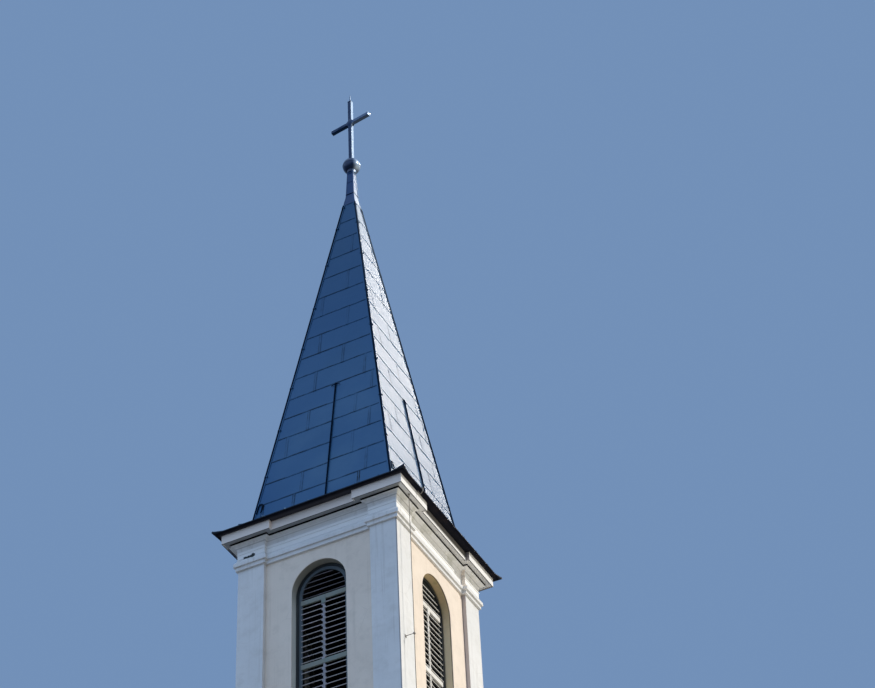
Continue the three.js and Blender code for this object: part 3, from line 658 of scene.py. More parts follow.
# Lower louvres: the same joinery in small, in each opening of the lower stage: a round-headed frame
# with a bottom and a middle rail holds a single row of tilted slats, and is fixed over a sill board.
LOWER_WINDOW = {"half": 0.3997, "sill": 5.6, "spring": 6.7}
LOWER_REACH, LOWER_RAIL = 0.327, (6.57, 6.69)
for turn, side in enumerate(SIDES):
    work = Work(60 + turn)
    sill(work, LOWER_WINDOW)
    foot = LOWER_WINDOW["sill"] + SILL_THICKNESS
    arched_frame(work, LOWER_WINDOW, ((0.0, 0.0), (0.074, 0.0), (0.080, 0.006), (0.080, 0.118),
                                      (0.0, 0.118)), foot, FRAME)
    across = (-LOWER_REACH, LOWER_REACH)
    fit(work, across, (0.010, 0.060), (foot + 0.006, foot + 0.125), RAIL)
    fit(work, across, (0.008, 0.060), LOWER_RAIL, RAIL, 0.4)
    for height in bay(foot + 0.125, LOWER_RAIL[0]):
        slat(work, *across, height)
    for height in (6.755, 6.875):
        head_slat(work, LOWER_WINDOW, LOWER_REACH, height)
    make(f"lower_shutter_{side}", work, SUNNY_FINISHES if turn in SUNNY_TURNS else SHADY_FINISHES,
         f"lower_louvre_{side}", 0.0025, turn=turn)


# Door: a pair of ledged oak leaves of upright boards under a boarded round head, in a heavy frame.
# Forged strap hinges, a ring handle and a keyhole plate are nailed on.
door_oak = old_paint("door_oak", (0.135, 0.075, 0.040), (0.21, 0.145, 0.09), 0.6, 0.35)
forged_iron, place = open_finish("forged_iron")
pits = place.noise(90.0, 4.0, 0.6)
rust = place.noise(14.0, 4.0, 0.6).ramp(0.5, 0.75)
close_finish(forged_iron, (rust * 0.5).tint((0.035, 0.035, 0.04), (0.11, 0.055, 0.03)),
             0.5 + rust * 0.3, pits.relief(0.0012), Metallic=0.6)
DOORWAY = {"half": 0.6497, "sill": 0.0, "spring": 2.3}
THRESHOLD = 0.1503
LEAF_DEPTH, LEAF_HALF, HEAD_REACH = 0.034, 0.572, 0.575
LEAF_FACE = FRAME_FRONT + LEAF_DEPTH
BOARDS, BOARD_GAP, BOARD_BACK = 10, 0.0015, 0.088
OAK, IRON = 0, 1
work = Work(71)
arched_frame(work, DOORWAY, ((0.0, 0.0), (0.068, 0.0), (0.080, 0.012), (0.080, 0.118), (0.0, 0.118)),
             THRESHOLD, OAK)
for k in range(BOARDS):
    edges = [LEAF_HALF * (2 * (k + n) / BOARDS - 1) for n in (0, 1)]
    rises = [max(0.06, math.sqrt(max(0.0, HEAD_REACH ** 2 - edge ** 2))) for edge in edges]
    left, right = edges[0] + BOARD_GAP, edges[1] - BOARD_GAP
    tone = work.chance.random()
    lift = work.chance.uniform(-0.0015, 0.0015)
    fit(work, (left, right), (LEAF_DEPTH + lift, BOARD_BACK), (THRESHOLD + 0.012, 2.25), OAK, tone)
    work.bar([[(left, y, 2.345), (right, y, 2.345), (right, y, 2.3 + rises[1]), (left, y, 2.3 + rises[0])]
              for y in (LEAF_FACE + 0.004 + lift, FRAME_FRONT + BOARD_BACK)], OAK, work.chance.random())
for sides, depths, heights, tone in (((-0.61, 0.61), (0.002, 0.098), (2.24, 2.36), 0.4),
                                     ((-0.034, 0.034), (0.010, 0.046), (THRESHOLD + 0.01, 2.24), 0.7),
                                     ((-0.60, -0.036), (0.020, 0.038), (THRESHOLD + 0.012, 0.36), 0.1),
                                     ((0.036, 0.60), (0.020, 0.038), (THRESHOLD + 0.012, 0.36), 0.2)):
    fit(work, sides, depths, heights, OAK, tone)
for way, height in product((-1, 1), (0.52, 1.28, 2.02)):
    strap = [[(way * x, LEAF_FACE - out, height + lift) for out, lift in
              ((-0.004, -wide), (0.007, -wide), (0.007, wide), (-0.004, wide))]
             for x, wide in ((0.585, 0.026), (0.40, 0.021), (0.20, 0.014), (0.13, 0.010))]
    work.bar(strap, IRON)
    for x in (0.54, 0.44, 0.33, 0.22):
        work.bar([[(way * x + u, LEAF_FACE - out, height + v) for u, v, _ in circle(radius, 0, 8)]
                  for radius, out in ((0.011, 0.006), (0.010, 0.011), (0.005, 0.013))], IRON)
fit(work, (0.052, 0.098), (0.029, 0.037), (1.02, 1.24), IRON)
work.tube([(0.075 + 0.042 * math.sin(a), LEAF_FACE - 0.014 - 0.006 * math.cos(a), 1.125 + 0.042 * math.cos(a))
           for a in (2 * math.pi * n / 24 for n in range(25))], 0.006, 8, IRON)
work.tube([(0.075, LEAF_FACE + 0.002, 1.168), (0.075, LEAF_FACE - 0.024, 1.168)], 0.010, 10, IRON)
make("church_door", work, (door_oak, forged_iron), "door", 0.0025)


# Eave boards: tarred softwood boards nailed up behind the roof's edge, butt-jointed, with their faces
# splayed. The eaves are the upper edge of the metal roof, and heights on the spire start from there.
SKIRT_RISE = 0.33
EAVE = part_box("spire_skirt")[1].z - SKIRT_RISE
BOARD_FOOT, BOARD_FOOT_DROP = 2.430, 0.0745
BOARD_HEAD, BOARD_HEAD_DROP = 2.510, 0.0605
eave_tar, place = open_finish("eave_tar")
grain = place.stretched(9.0, 9.0, 30.0).noise(1.0, 4.0, 0.6)
bleached = place.noise(2.3, 4.0, 0.65).ramp(0.52, 0.75)
out_x, out_y = place.along("X"), place.along("Y")
out = place.math("MAXIMUM", out_x * out_x, out_y * out_y)
at_foot = (1 - out.ramp(2.40 ** 2, 2.49 ** 2)) * (1 - place.sunlit() * 0.8)
# Painted reflection: the tar is painted blue-black, as the blue sky shows in it. Near the wall the boards are
# lighter grey, less so on the sunny sides.
colour = (bleached * 0.6).tint((0.003, 0.004, 0.010), (0.026, 0.018, 0.019)).under(
    (grain.ramp(0.55, 0.8) * 0.5, (0.002, 0.002, 0.004)), (at_foot, (0.045, 0.045, 0.055)))
close_finish(eave_tar, colour, 0.7 + grain * 0.2, grain.relief(0.003), Specular_IOR_Level=0.12)
dress("eave_board", eave_tar, 0.004)
for turn, side in enumerate(SIDES):
    work = Work(90 + turn)
    stops = [-1.0, -0.46, 0.08, 0.55, 1.0]
    for left, right in zip(stops, stops[1:]):
        lift = work.chance.uniform(0.0, 0.003)
        section = ((BOARD_FOOT - 0.014, -BOARD_FOOT_DROP - 0.001),
                   (BOARD_FOOT - 0.012, -BOARD_FOOT_DROP - 0.011 - lift),
                   (BOARD_HEAD + 0.010, -BOARD_HEAD_DROP - 0.009 - lift),
                   (BOARD_HEAD + 0.010, -BOARD_HEAD_DROP + 0.001),
                   (BOARD_FOOT + 0.002, -BOARD_FOOT_DROP + 0.001))
        work.bar([[(part * half + clear, -half, EAVE + z) for half, z in section]
                  for part, clear in ((left, 0.002), ((left + right) / 2, 0.0), (right, -0.002))],
                 tone=work.chance.random())
    make(f"eave_fascia_{side}", work, (eave_tar,), edge=0.0015, turn=turn)


# Skirt: the flared foot of the roof, flat painted steel sheets between upstanding folded seams. A
# folded, nearly black drip edge hangs over the eave boards and runs out into a point at each corner.
def painted_sheet(name, paint, chalked, soiled, rough, metal, shine=0.5, sunward_highlight=0.0, bare=0.0, **gloss):
    """Painted galvanised sheet: chalky patches, faint runs, and dirt held in the folded joints. The
    shaded sides are painted darker and bluer towards the top as painted shade and sky reflection, and
    made more metallic; the sunny sides are painted paler towards the top as painted sunlight, and faces
    towards +X can be painted paler as a painted highlight."""
    finish, place = open_finish(name)
    tone, joint = place.mark("tone"), place.mark("joint")
    height = place.along("Z") - EAVE
    sunny = place.sunlit()
    shady = 1 - sunny
    cloud = place.noise(0.9, 4.0, 0.55).ramp(0.3, 0.72)
    patch = place.noise(4.2, 4.0, 0.6).ramp(0.42, 0.78)
    run = place.stretched(11.0, 11.0, 0.45).noise(1.0, 3.0, 0.6).ramp(0.5, 0.8)
    # Painted shade and reflection of blue sky: the shaded sides are painted darker and bluer, the blue
    # deepening towards the top.
    shade_deepening = height.ramp(1.0, 12.0) * 0.6 + place.noise(0.55, 3.0).ramp(0.45, 0.75) * 0.3
    climbed = height.ramp(5.0, 12.0)
    colour = (tone * 0.55 + cloud * 0.25).tint(paint, chalked).under(
        (patch * 0.12 + run * 0.10, soiled), (shady * 0.6, dyed(paint, 0.4, 1.08, 1.20)),
        (shade_deepening * shady, dyed(paint, 0.28, 0.78, 0.76)))
    # The shaded sides are made more metallic, which deepens their colour, and low down towards +X are painted
    # lighter and less metallic, as painted light.
    if bare:
        worn = (1 - height.ramp(2.5, 7.5)) * place.along("X").ramp(-2.0, -0.6)
        worn = worn * (0.5 + place.noise(0.7, 3.0).ramp(0.35, 0.65) * 0.5)
        colour = (worn * shady * 0.7).tint(colour, dyed(paint, 1.2, 1.60, 1.42))
        metal = metal + shady * (1 - worn * 0.75) * bare
    # Painted sunlight: the sunny sides are painted paler towards the top.
    colour = (climbed * sunny * 0.20).tint(colour, PAINTED_SUNLIGHT)
    # Painted highlight: faces that look towards +X are painted paler.
    if sunward_highlight:
        colour = (place.facing("X").ramp(0.5, 0.95) * sunward_highlight).tint(colour, PAINTED_SUNLIGHT)
    held = joint * (0.08 + place.noise(1.7, 4.0, 0.7).ramp(0.38, 0.62) * 0.62) * (1 - sunny * 0.72)
    held = held * (1 - shady * climbed * 0.5)
    speck = place.noise(38.0, 2.0).ramp(0.70, 0.78) * 0.35
    colour = colour.under((held, dyed(soiled, 0.3)), (speck, soiled))
    skin = place.noise(55.0, 3.0, 0.6).relief(0.0004, place.noise(1.9, 2.0).relief(0.004))
    roughness = rough + patch * 0.015 + tone * 0.012 + held * 0.3
    return close_finish(finish, colour, roughness, skin, Metallic=metal, Specular_IOR_Level=shine, **gloss)


# The pale blue that sunlit faces are painted towards.
PAINTED_SUNLIGHT = (0.42, 0.55, 0.72)
# The sheets' deep blue is partly their paint and partly a painted reflection of blue sky.
spire_sheet = painted_sheet("spire_sheet", (0.019, 0.074, 0.165), (0.033, 0.098, 0.192),
                            (0.020, 0.050, 0.082), 0.49, 0.12, bare=0.5)
eave_edge = painted_sheet("eave_edge", (0.006, 0.010, 0.022), (0.010, 0.015, 0.030),
                          (0.006, 0.007, 0.010), 0.6, 0.1, 0.3)
dress("spire_skirt", eave_edge, 0.0)
EDGE_HALF, TIP_HALF, EDGE_DROP = 2.530, 2.574, 0.040
slopes_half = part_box("spire_slope_right")[1].x
skirt_climb = SKIRT_RISE + EDGE_DROP
SKIRT_SLOPE = Vector((0.0, EDGE_HALF - slopes_half, skirt_climb)).normalized()
SKIRT_OUT = Vector((0.0, -SKIRT_SLOPE.z, SKIRT_SLOPE.y))


def skirt_half(part):
    """Half width of the skirt at a part of its height."""
    return EDGE_HALF + (slopes_half - EDGE_HALF) * part


def skirt_place(u, part, out):
    """A point on the front's skirt: from the middle, from drip to slope, and proud of the boards."""
    return Vector((u, -skirt_half(part), EAVE - EDGE_DROP + skirt_climb * part)) + SKIRT_OUT * out


for turn, side in enumerate(SIDES):
    work = Work(110 + turn)
    stops = [-1.0, -0.74, -0.49, -0.25, 0.0, 0.24, 0.5, 0.75, 1.0]
    for k, (left, right) in enumerate(zip(stops, stops[1:])):
        tone = work.chance.random()
        work.skin([[skirt_place(skirt_half(part) * (left + (right - left) * across), part,
                                0.003 + 0.002 * math.sin(math.pi * across) * math.sin(math.pi * part))
                    for across in (0.0, 0.25, 0.5, 0.75, 1.0)]
                   for part in (0.004, 0.25, 0.5, 0.75, 0.996)], tone=tone)
        if k:
            fold = ((-0.006, 0.0), (-0.005, 0.022), (-0.007, 0.026), (0.005, 0.027), (0.006, 0.0))
            rows = [[skirt_place(skirt_half(part) * left + across, part, out) for across, out in fold]
                    for part in (0.02, 0.35, 0.7, 0.98)]
            work.skin(rows, ring=True, caps=True, tone=0.4, joints=0.25)
    make(f"skirt_sheets_{side}", work, (spire_sheet,), smooth=30, turn=turn)
    work = Work()
    tip, straight, edge = TIP_HALF - 0.0005, EDGE_HALF - 0.26, EDGE_HALF + 0.0015
    rows = []
    for x, half, top, bottom in ((-tip, tip, 0.0, -0.040), (-straight, edge, -0.040, -0.062),
                                 (straight, edge, -0.040, -0.062), (tip, tip, 0.0, -0.040)):
        inner = min(max(x, 0.012 - half), half - 0.012)
        rows.append([(inner, -half + 0.012, EAVE + bottom + 0.0015), (x, -half, EAVE + bottom),
                     (x, -half - 0.0004, EAVE + top), (inner, -half + 0.030, EAVE + top + 0.012)])
    work.skin(rows, tone=0.5)
    make(f"drip_edge_{side}", work, (eave_edge,), smooth=50, turn=turn)


# Spire: courses of painted steel sheet on boarded slopes. Each course laps the one below with a
# folded lock that holds dirt, the sheets of a course hook together side by side, and every sheet
# is a little crowned and dented. The slopes behind are dark softwood boards.
SPIRE_HALF, SPIRE_APEX = 1.941, 13.089
LEAN = math.atan(SPIRE_HALF / SPIRE_APEX)
SPIRE_FOOT, SPIRE_TOP, SEAM_TOP = 0.3303, 11.9, 4.45
LEFT_OF_SEAM = (0.33, 0.95, 1.63, 2.35, 3.09, 3.79, 4.47)
RIGHT_OF_SEAM = (0.33, 0.95, 1.70, 2.46, 3.13, 3.80, 4.47)
ABOVE_SEAM = (4.47, 5.20, 5.90, 6.64, 7.38, 8.15, 8.92, 9.68, 10.42, 11.13, 11.90)
SEAM_AT = 0.125
SHEET_LENGTH = 1.42
LAP = ((0.0, -0.001, 1.0), (0.0005, 0.0090, 1.0), (0.021, 0.0100, 1.0), (0.025, 0.0065, 0.85),
       (0.042, 0.0060, 0.0))
FOLD = ((0.0, 0.0045, 2.2), (0.023, 0.0045, 2.2), (0.026, 0.0045, 0.1), (0.049, 0.0045, 0.1),
        (0.052, 0.0045, 2.2), (0.075, 0.0045, 2.2), (0.079, 0.0, 0.1))


def half_at(height):
    """Half width of the spire at a height above the eaves."""
    return SPIRE_HALF * (1 - height / SPIRE_APEX)


def slope_place(u, height, out):
    """A point on the front slope: from the middle, from the eaves, and proud of the boards."""
    return (u, -(half_at(height) + out * math.cos(LEAN)), EAVE + height + out * math.sin(LEAN))


def sheet(work, low, high, left, right, hooked, seed):
    """One sheet between two heights. left and right give its sides at a height."""
    tone = work.chance.random()
    wide = max(right(low) - left(low), right(high) - left(high))
    count = max(2, round(wide / 0.13))
    columns = [(k / count, 0.0, 0.0) for k in range(count + 1)]
    if hooked:
        columns = ([(across / wide, lift, mark) for across, lift, mark in FOLD]
                   + [column for column in columns if column[0] > 0.09 / wide])
    rise = high - low
    steps = max(3, round(rise / 0.16))
    lap_up, lap_lift, _ = LAP[-1]
    plain = [(lap_up + (rise - lap_up) * k / steps, lap_lift - 0.0045 * k / steps, 0.0)
             for k in range(1, steps + 1)]
    rows = []
    joints = []
    for up, lift, mark in (*LAP, *plain):
        height = low + up
        row = []
        for part, fold_lift, fold_mark in columns:
            u = left(height) + (right(height) - left(height)) * part
            crown = 0.0025 * math.sin(math.pi * part) * math.sin(math.pi * min(1.0, up / rise))
            wave = 0.0022 * noise.noise(Vector((u * 2.1, height * 1.7, seed)))
            row.append(slope_place(u, height, lift + fold_lift + (crown + wave if lift < 0.007 else 0.0)))
            joints.append(max(mark, fold_mark * hooked))
        rows.append(row)
    work.skin(rows, tone=tone, joints=joints)


def course(work, low, high, from_u, to_u, stops, hooked, seed):
    """A course of sheets between two heights, parted at the given places."""
    edges = [from_u] + [lambda height, u=u: u for u in stops] + [to_u]
    for k, (left, right) in enumerate(zip(edges, edges[1:])):
        sheet(work, low, high, left, right, hooked if k else 0.0, seed + k * 3.1)


def parting(low, from_u, to_u, start):
    """Where a course is parted into sheets, clear of its two ends."""
    stops = []
    u = start
    while u < to_u(low) - 0.25:
        if u > from_u(low) + 0.25:
            stops.append(u)
        u += SHEET_LENGTH
    return stops


def right_hip(height):
    return half_at(height) + 0.004


def left_hip(height):
    return -right_hip(height)


def at_seam(_):
    return SEAM_AT


for turn, side in enumerate(SIDES):
    work = Work(130 + turn)
    slip = 0.0 if turn == 0 else work.chance.uniform(-0.12, 0.12)
    left_levels, right_levels, levels = [
        [z + slip * (foot < z < head) for z in marks] for marks, foot, head in
        ((LEFT_OF_SEAM, 0.33, 4.4), (RIGHT_OF_SEAM, 0.33, 4.4), (ABOVE_SEAM, 4.6, 11.7))]
    for k in range(len(LEFT_OF_SEAM) - 1):
        hooked, seed = 0.3 if k else 1.0, turn * 17 + k
        low, high = left_levels[k:k + 2]
        stops = parting(low, left_hip, at_seam, -2.6 + 0.55 * (k % 3)) if k else (-1.67, -0.81)
        course(work, low, high, left_hip, at_seam, stops, hooked, seed)
        low, high = right_levels[k:k + 2]
        stops = parting(low, at_seam, right_hip, 0.7 + 0.43 * (k % 2)) if k else (0.96,)
        course(work, low, high, at_seam, right_hip, stops, hooked, seed + 60)
    for k, (low, high) in enumerate(zip(levels, levels[1:])):
        stops = parting(low, left_hip, right_hip, -2.0 + 0.71 * (k % 2) + 0.12 * work.chance.random())
        course(work, low, high, left_hip, right_hip, stops, 0.3, turn * 17 + k + 90)
    make(f"spire_sheets_{side}", work, (spire_sheet,), smooth=25, turn=turn)
sarking = board_finish("sarking", (0.060, 0.050, 0.042), (0.030, 0.025, 0.022), 0.18, (0.01, 0.01, 0.01))
for side in SIDES:
    dress(f"spire_slope_{side}", sarking, 0.0)


# Hip cappings: a nearly black sheet-steel roll over each edge of the spire, its flanges painted like
# the sheets but for one on the far right hip, left nearly black as a painted shadow line. Bolted strap
# clips hold it down, the bolts black only on the sunny slopes, and a ladder staple is riveted on near
# its foot.
hip_metal = painted_sheet("hip_metal", (0.004, 0.010, 0.024), (0.007, 0.016, 0.034),
                          (0.005, 0.008, 0.014), 0.85, 0.0, 0.02)
CLIP_HEIGHTS = (1.91, 3.44, 4.90, 6.31, 7.81, 9.46, 10.92, 11.80)
CAPPING_RISE, CAPPING_STEPS = 11.569, 26
STAPLE = ((0.058, 0.70), (0.058, 0.93), (0.085, 0.985), (0.145, 0.985), (0.190, 0.92), (0.172, 0.70))
BLACK, SHEET_BLUE = 0, 1


def capping_row(height, sway=0.0, grow=0.0):
    """Points round a capping at the front right hip: one flange, the roll and the other flange."""
    edge, reach = half_at(height), 0.024 + grow
    roll = [math.radians(angle) for angle in range(-160, 71, 23)]
    section = ([(-0.054, -0.0105), (-0.054, -0.0135 - grow), (-0.023, -0.0135 - grow)]
               + [(0.003 + reach * math.cos(angle), -0.003 + reach * math.sin(angle)) for angle in roll]
               + [(0.0135 + grow, 0.023), (0.0135 + grow, 0.054), (0.0105, 0.054), (-0.004, 0.004)])
    return [(edge + x + sway, -edge + y - sway, EAVE + height) for x, y in section]


for turn, corner in enumerate(CORNERS):
    work = Work(150 + turn)
    # The far right hip keeps one flange nearly black, a painted shadow line.
    painted = (14, 15) if turn == 1 else (0, 1, 14, 15)
    rows = []
    for k in range(CAPPING_STEPS + 1):
        height = SPIRE_FOOT + CAPPING_RISE * k / CAPPING_STEPS
        rows.append(capping_row(height, 0.0015 * noise.noise(Vector((height * 1.3, turn * 5.0, 0.0)))))
    work.bar(rows, BLACK, 0.4, painted, SHEET_BLUE)
    work.tube([(half_at(height) + 0.022, -half_at(height) + along, EAVE + height)
               for along, height in STAPLE], 0.012, 8, BLACK, 0.9)
    for height in CLIP_HEIGHTS:
        work.bar([capping_row(height + up, grow=0.005) for up in (-0.030, 0.030)], BLACK, 0.9, painted,
                 SHEET_BLUE)
        edge, level = half_at(height), EAVE + height
        work.tube([(edge - 0.044, -edge - out, level) for out in (0.010, 0.024)], 0.014, 6,
                  BLACK if turn in (1, 2) else SHEET_BLUE, 0.9)
        work.tube([(edge + out, -edge + 0.048, level) for out in (0.010, 0.038)], 0.021, 6,
                  BLACK if turn in (0, 1) else SHEET_BLUE, 0.9)
    make(f"hip_roll_{corner}", work, (hip_metal, spire_sheet), f"hip_capping_{corner}",
         turn=turn)
    work = Work(160 + turn)
    rows = []
    for part in (0.0, 0.04, 0.35, 0.7, 1.0):
        out, rise, wide = skirt_half(part), EAVE - EDGE_DROP + skirt_climb * part, 0.045
        if part == 0.0:
            out, rise, wide = TIP_HALF - 0.008, EAVE - 0.004, 0.020
        rows.append([(out - wide, -out, rise + 0.002), (out - wide * 0.5, -out - 0.003, rise + 0.010),
                     (out - 0.010, -out + 0.004, rise + 0.024), (out - 0.004, -out + 0.010, rise + 0.024),
                     (out + 0.003, -out + wide * 0.5, rise + 0.010), (out, -out + wide, rise + 0.002)])
    work.bar(rows, BLACK, 0.3)
    make(f"skirt_hip_{corner}", work, (hip_metal,), smooth=40, turn=turn)


# Raised seams: a batten up the lower third of each slope, clad in nearly black folded steel in lapped
# lengths, with flanges painted like the sheets. A forged cross-bar at its top holds a roofer's ladder.
for turn, side in enumerate(SIDES):
    work = Work(170 + turn)
    lengths = [SPIRE_FOOT + (SEAM_TOP - SPIRE_FOOT) * k / 3 for k in range(4)]
    for k, (low, high) in enumerate(zip(lengths, lengths[1:])):
        rows = []
        for part in (0.0, 0.004, 0.33, 0.66, 1.0):
            grow = 0.0025 if part < 0.003 or k % 2 else 0.0
            section = ((-0.030, 0.008), (-0.030, 0.012), (-0.017 - grow, 0.012), (-0.0155 - grow, 0.034),
                       (-0.011, 0.038 + grow), (0.011, 0.038 + grow), (0.0155 + grow, 0.034),
                       (0.017 + grow, 0.012), (0.030, 0.012), (0.030, 0.008))
            rows.append([slope_place(SEAM_AT + across, low + (high - low) * part, out)
                         for across, out in section])
        work.bar(rows, BLACK, work.chance.random(), (0, 1, 7, 8), SHEET_BLUE)
    stay = ((-0.12, 0.46, 0.016), (-0.03, 0.41, 0.026), (0.0, 0.40, 0.040))
    cross_bar = [(u, SEAM_TOP - 0.03 - 0.03 * abs(u) / 0.12, 0.028) for u in (-0.12, -0.06, 0.0, 0.06, 0.12)]
    shank = ((0.0, SEAM_TOP - 0.16, 0.030), (0.0, SEAM_TOP - 0.01, 0.030))
    for path, radius, tone in ((stay, 0.012, 0.9), (cross_bar, 0.011, 0.9), (shank, 0.013, 0.0)):
        work.tube([slope_place(SEAM_AT + u, height, out) for u, height, out in path], radius, 8, BLACK, tone)
    make(f"raised_seam_{side}", work, (hip_metal, spire_sheet), f"spire_seam_{side}",
         turn=turn)


# Neck: the slopes end in a slender square tip of folded sheet, with a lapped collar where it steepens,
# welts on its four edges and a cap flashing under the ball.
NECK_TOP, NECK_TOP_HALF = 13.25, 0.088
NECK = ((SPIRE_TOP, half_at(SPIRE_TOP)), (12.20, 0.134), (12.27, 0.127), (12.32, 0.123), (12.60, 0.113),
        (12.90, 0.102), (NECK_TOP, NECK_TOP_HALF))


def neck_half(height):
    """Half width of the neck at a height above the eaves."""
    for (low, wide), (high, narrow) in zip(NECK, NECK[1:]):
        if height <= high:
            return wide + (narrow - wide) * (height - low) / (high - low)
    return NECK_TOP_HALF


def square_row(half, height, welt=0.0):
    """Points round a square, with a small welt on each edge."""
    side = [(-half + 0.012, -half), (0.0, -half), (half - 0.012, -half), (half - 0.010, -half - welt),
            (half + welt, -half - welt), (half + welt, -half + 0.010)]
    return [(c * x - s * y, s * x + c * y, EAVE + height) for c, s in QUARTERS for x, y in side]


work = Work(180)
work.bar([square_row(neck_half(z) + 0.004 * (z < 12.2), z, 0.006) for z in
          (11.901, 12.0, 12.1, 12.2, 12.27, 12.32, 12.45, 12.6, 12.75, 12.9, 13.1, NECK_TOP)], tone=0.3)
for height, proud, coat in ((SPIRE_TOP, 0.010, 0), (12.335, 0.009, 1), (12.82, 0.005, 0)):
    rows = [square_row(neck_half(height + up) + out, height + up) for up, out in
            ((0.0, 0.001), (0.001, proud), (0.022, proud), (0.025, 0.001))]
    work.skin(rows, ring=True, coat=coat, tone=0.5, joints=0.8)
work.skin([square_row(NECK_TOP_HALF + out, NECK_TOP + up) for up, out in
           ((-0.055, 0.004), (-0.055, 0.013), (-0.012, 0.013), (-0.0005, 0.020), (-0.0005, 0.002))],
          ring=True, tone=0.7, joints=0.3)
# Its faces towards +X are painted paler, a painted highlight.
neck_metal = painted_sheet("neck_metal", (0.015, 0.050, 0.150), (0.024, 0.070, 0.180),
                           (0.010, 0.030, 0.070), 0.43, 0.30, 0.35, 0.26)
make("neck_sheets", work, (neck_metal, hip_metal), "spire_neck", smooth=30)


# Ball: two spun copper-sheet halves locked together in a welt round the middle, on a conical foot, with
# a collar where the mast comes out. Painted dark, a little dented, its faces towards +X painted paler as
# a painted highlight.
ball_metal = painted_sheet("ball_metal", (0.006, 0.022, 0.075), (0.010, 0.032, 0.100),
                           (0.005, 0.014, 0.036), 0.30, 0.3, 0.4, 0.85, Coat_Weight=0.3,
                           Coat_Roughness=0.2)
BALL_MIDDLE, BALL_RADIUS = 13.55, 0.250
lower_half, upper_half = [[(BALL_RADIUS * math.cos(bend), BALL_MIDDLE + BALL_RADIUS * math.sin(bend))
                           for bend in (-1.02 + (0.985 + 1.02) * k / 24 for k in part)]
                          for part in (range(12), range(13, 25))]
welt = [(BALL_RADIUS + out, BALL_MIDDLE + up) for out, up in
        ((-0.001, -0.009), (0.004, -0.008), (0.004, 0.008), (-0.001, 0.009))]
foot = [(0.128, 13.2503), (0.130, 13.262), (0.122, 13.268), (0.121, 13.300)]
collar = [(0.128, 13.765), (0.104, 13.772), (0.100, 13.800), (0.090, 13.803)]
work = Work(190)
work.bar([circle(radius, EAVE + height, 64) for radius, height in
          foot + lower_half + welt + upper_half + collar])
make("spire_ball", work, (ball_metal,), "ball", smooth=28)


# Cross: a square mast and bar of folded sheet over an iron core, with seamed edges, end caps, a
# four-sided boss on both faces of the crossing and a thin rod on top. It stands a little askew.
MAST_HALF, BAR_REACH, CROSSING, BOSS_REACH = 0.056, 0.650, 15.33, 0.162
CAP_HALF, CAP_CHAMFER = 0.0595, 0.005
ASKEW = math.radians(-7.5)
X, Y, Z = Vector((1, 0, 0)), Vector((0, 1, 0)), Vector((0, 0, 1))
# Its faces towards +X are painted paler, a painted highlight.
cross_metal = painted_sheet("cross_metal", (0.005, 0.026, 0.082), (0.010, 0.036, 0.100),
                            (0.006, 0.018, 0.044), 0.34, 0.30, 0.25, 0.95)


def box_row(centre, first, second, reach, chamfer=0.007):
    """Eight points round a square section with its corners taken off."""
    near = reach - chamfer
    turns = ((near, -reach), (reach, -near), (reach, near), (near, reach), (-near, reach), (-reach, near),
             (-reach, -near), (-near, -reach))
    return [Vector(centre) + first * a + second * b for a, b in turns]


def mast_row(z, reach, chamfer=0.007):
    return box_row((0, 0, EAVE + z), X, Y, reach, chamfer)


def arm_row(x, reach, chamfer=0.007):
    return box_row((x, 0, EAVE + CROSSING), Y, Z, reach, chamfer)


work = Work(200)
for foot, top in ((13.7703, CROSSING - 0.02), (CROSSING + 0.02, 16.25)):
    work.bar([mast_row(foot + (top - foot) * k / 5, MAST_HALF - 0.0005 * (k % 2)) for k in range(6)],
             tone=work.chance.random())
work.bar([arm_row(x, MAST_HALF - 0.0015 - 0.0005 * (k % 2)) for k, x in
          enumerate((-BAR_REACH + 0.004, -0.4, -0.2, 0.0, 0.2, 0.4, BAR_REACH - 0.004))], tone=0.5)
for way in (-1, 1):
    work.bar([arm_row(way * x, reach, CAP_CHAMFER) for x, reach in
              ((BAR_REACH - 0.022, CAP_HALF), (BAR_REACH - 0.003, CAP_HALF), (BAR_REACH, 0.054))], tone=0.9)
work.bar([mast_row(z, reach, CAP_CHAMFER) for z, reach in
          ((16.228, CAP_HALF), (16.247, CAP_HALF), (16.262, 0.030))], tone=0.9)
for way in (-1, 1):
    work.bar([[(x * BOSS_REACH * grow, way * deep, EAVE + CROSSING + z * BOSS_REACH * grow)
               for x, z in QUARTERS]
              for grow, deep in ((1.0, 0.040), (1.0, 0.052), (0.90, 0.058), (0.32, 0.074), (0.20, 0.075))],
             tone=0.6)
for z in (14.02, 14.62, 15.02, 15.80):
    work.bar([mast_row(z, MAST_HALF + 0.0025), mast_row(z + 0.018, MAST_HALF + 0.0025)], tone=0.8)
work.tube([(0, 0, EAVE + z) for z in (16.24, 16.285)], 0.034, 6, 0, 0.9)
work.tube([(0, 0, EAVE + z) for z in (16.24, 16.40, 16.5395)], [0.021, 0.016, 0.009], 10)
work.points = [(x * math.cos(ASKEW) - y * math.sin(ASKEW), x * math.sin(ASKEW) + y * math.cos(ASKEW), z)
               for x, y, z in work.points]
make("spire_cross", work, (cross_metal,), "cross", 0.0015)


# Lightning conductor: a round iron rod held clear of the near pilaster, in clamps on long pins with
# wall plates. It goes up through the cornice, hangs out under the eave boards, loops over the eave and
# runs up to the right raised seam.
RUN_X, RUN_Y, WALL_X = 2.32, -1.86, 2.1003
rod_iron = painted_sheet("rod_iron", (0.19, 0.17, 0.14), (0.26, 0.235, 0.20), (0.09, 0.075, 0.06),
                         0.6, 0.2, 0.3)


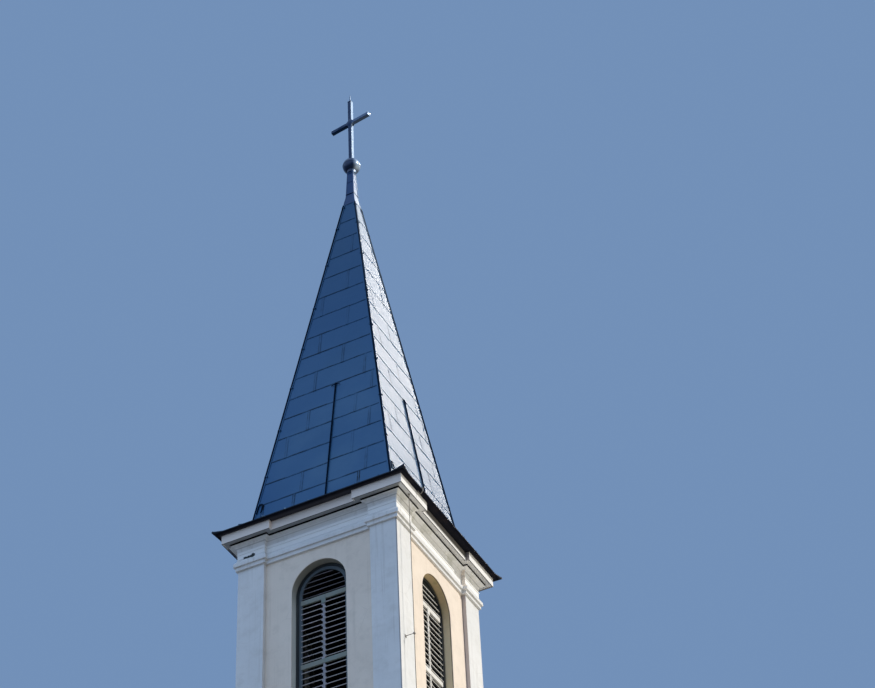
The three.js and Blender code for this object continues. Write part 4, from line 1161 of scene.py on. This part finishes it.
def clamp(work, z):
    """A two-part clamp round the rod, on a pin with a plate against the wall."""
    work.tube([(WALL_X, RUN_Y, z), (RUN_X - 0.010, RUN_Y, z)], 0.0085, 8, 0, 0.4)
    work.bar([[(WALL_X + out, RUN_Y + wide * a, z + wide * b)
               for a, b in ((-1, -1), (1, -1), (1, 1), (-1, 1))]
              for out, wide in ((0.0, 0.035), (0.006, 0.035), (0.014, 0.022))], tone=0.7)
    work.block((RUN_X - 0.018, RUN_Y - 0.024, z - 0.020), (RUN_X + 0.016, RUN_Y + 0.024, z + 0.020), 0, 0.7)
    for way in (-1, 1):
        work.tube([(RUN_X - 0.024, RUN_Y + way * 0.017, z), (RUN_X + 0.023, RUN_Y + way * 0.017, z)],
                  0.006, 6, 0, 0.9)


def on_skirt(x, y):
    """A place on the right side's skirt, a rod's radius proud of the sheets."""
    part = (EDGE_HALF - x) / (EDGE_HALF - slopes_half)
    return Vector((x + 0.010, y, EAVE - EDGE_DROP + skirt_climb * part + 0.017))


for seed, part, low, high, clamps, sleeve in (
        (210, "lower", 1.10, 10.24, (1.23, 5.03, 8.83), (10.19, 10.2495)),
        (211, "belfry", 10.26, 16.478, (12.63,), (10.2505, 10.31))):
    work = Work(seed)
    steps = round((high - low) / 0.35)
    heights = [low + (high - low) * k / steps for k in range(steps + 1)]
    work.tube([(RUN_X + 0.004 * noise.noise(Vector((z * 0.9, 3.0, 0.0))),
                RUN_Y + 0.006 * noise.noise(Vector((z * 0.8, 9.0, 0.0))), z) for z in heights], 0.009, 8)
    for z in clamps:
        clamp(work, z)
    work.tube([(RUN_X, RUN_Y, z) for z in sleeve], 0.013, 8, 0, 0.8)
    make(f"conductor_rod_{part}", work, (rod_iron,), f"conductor_{part}")
work = Work(212)
hang = [(2.440, -1.625, 16.728), (2.446, -1.622, 16.690), (2.462, -1.618, 16.630), (2.492, -1.614, 16.592),
        (2.524, -1.604, 16.625), (2.552, -1.590, 16.700), (2.560, -1.584, 16.755), (2.548, -1.580, 16.795)]
climb = [on_skirt(x, y) for x, y in
         ((2.50, -1.56), (2.36, -1.30), (2.12, -0.80), (1.98, -0.30), (1.93, 0.06))]
work.tube(hang + climb, 0.010, 8, 0, 0.6)
work.block((RUN_X - 0.016, RUN_Y - 0.016, 16.470), (RUN_X + 0.016, RUN_Y + 0.016, 16.4985), 0, 0.8)
for x, y in ((2.50, -1.56), (2.20, -0.967)):
    strap = on_skirt(x, y)
    work.block(strap - Vector((0.020, 0.026, 0.017)), strap + Vector((0.020, 0.026, 0.013)), 0, 0.8)
make("conductor_bends", work, (rod_iron,))


# The tower is finished: the picture's tones are left as they are, and the box round the finished
# tower is found.
bpy.context.scene.view_settings.look = "None"
low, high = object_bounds()
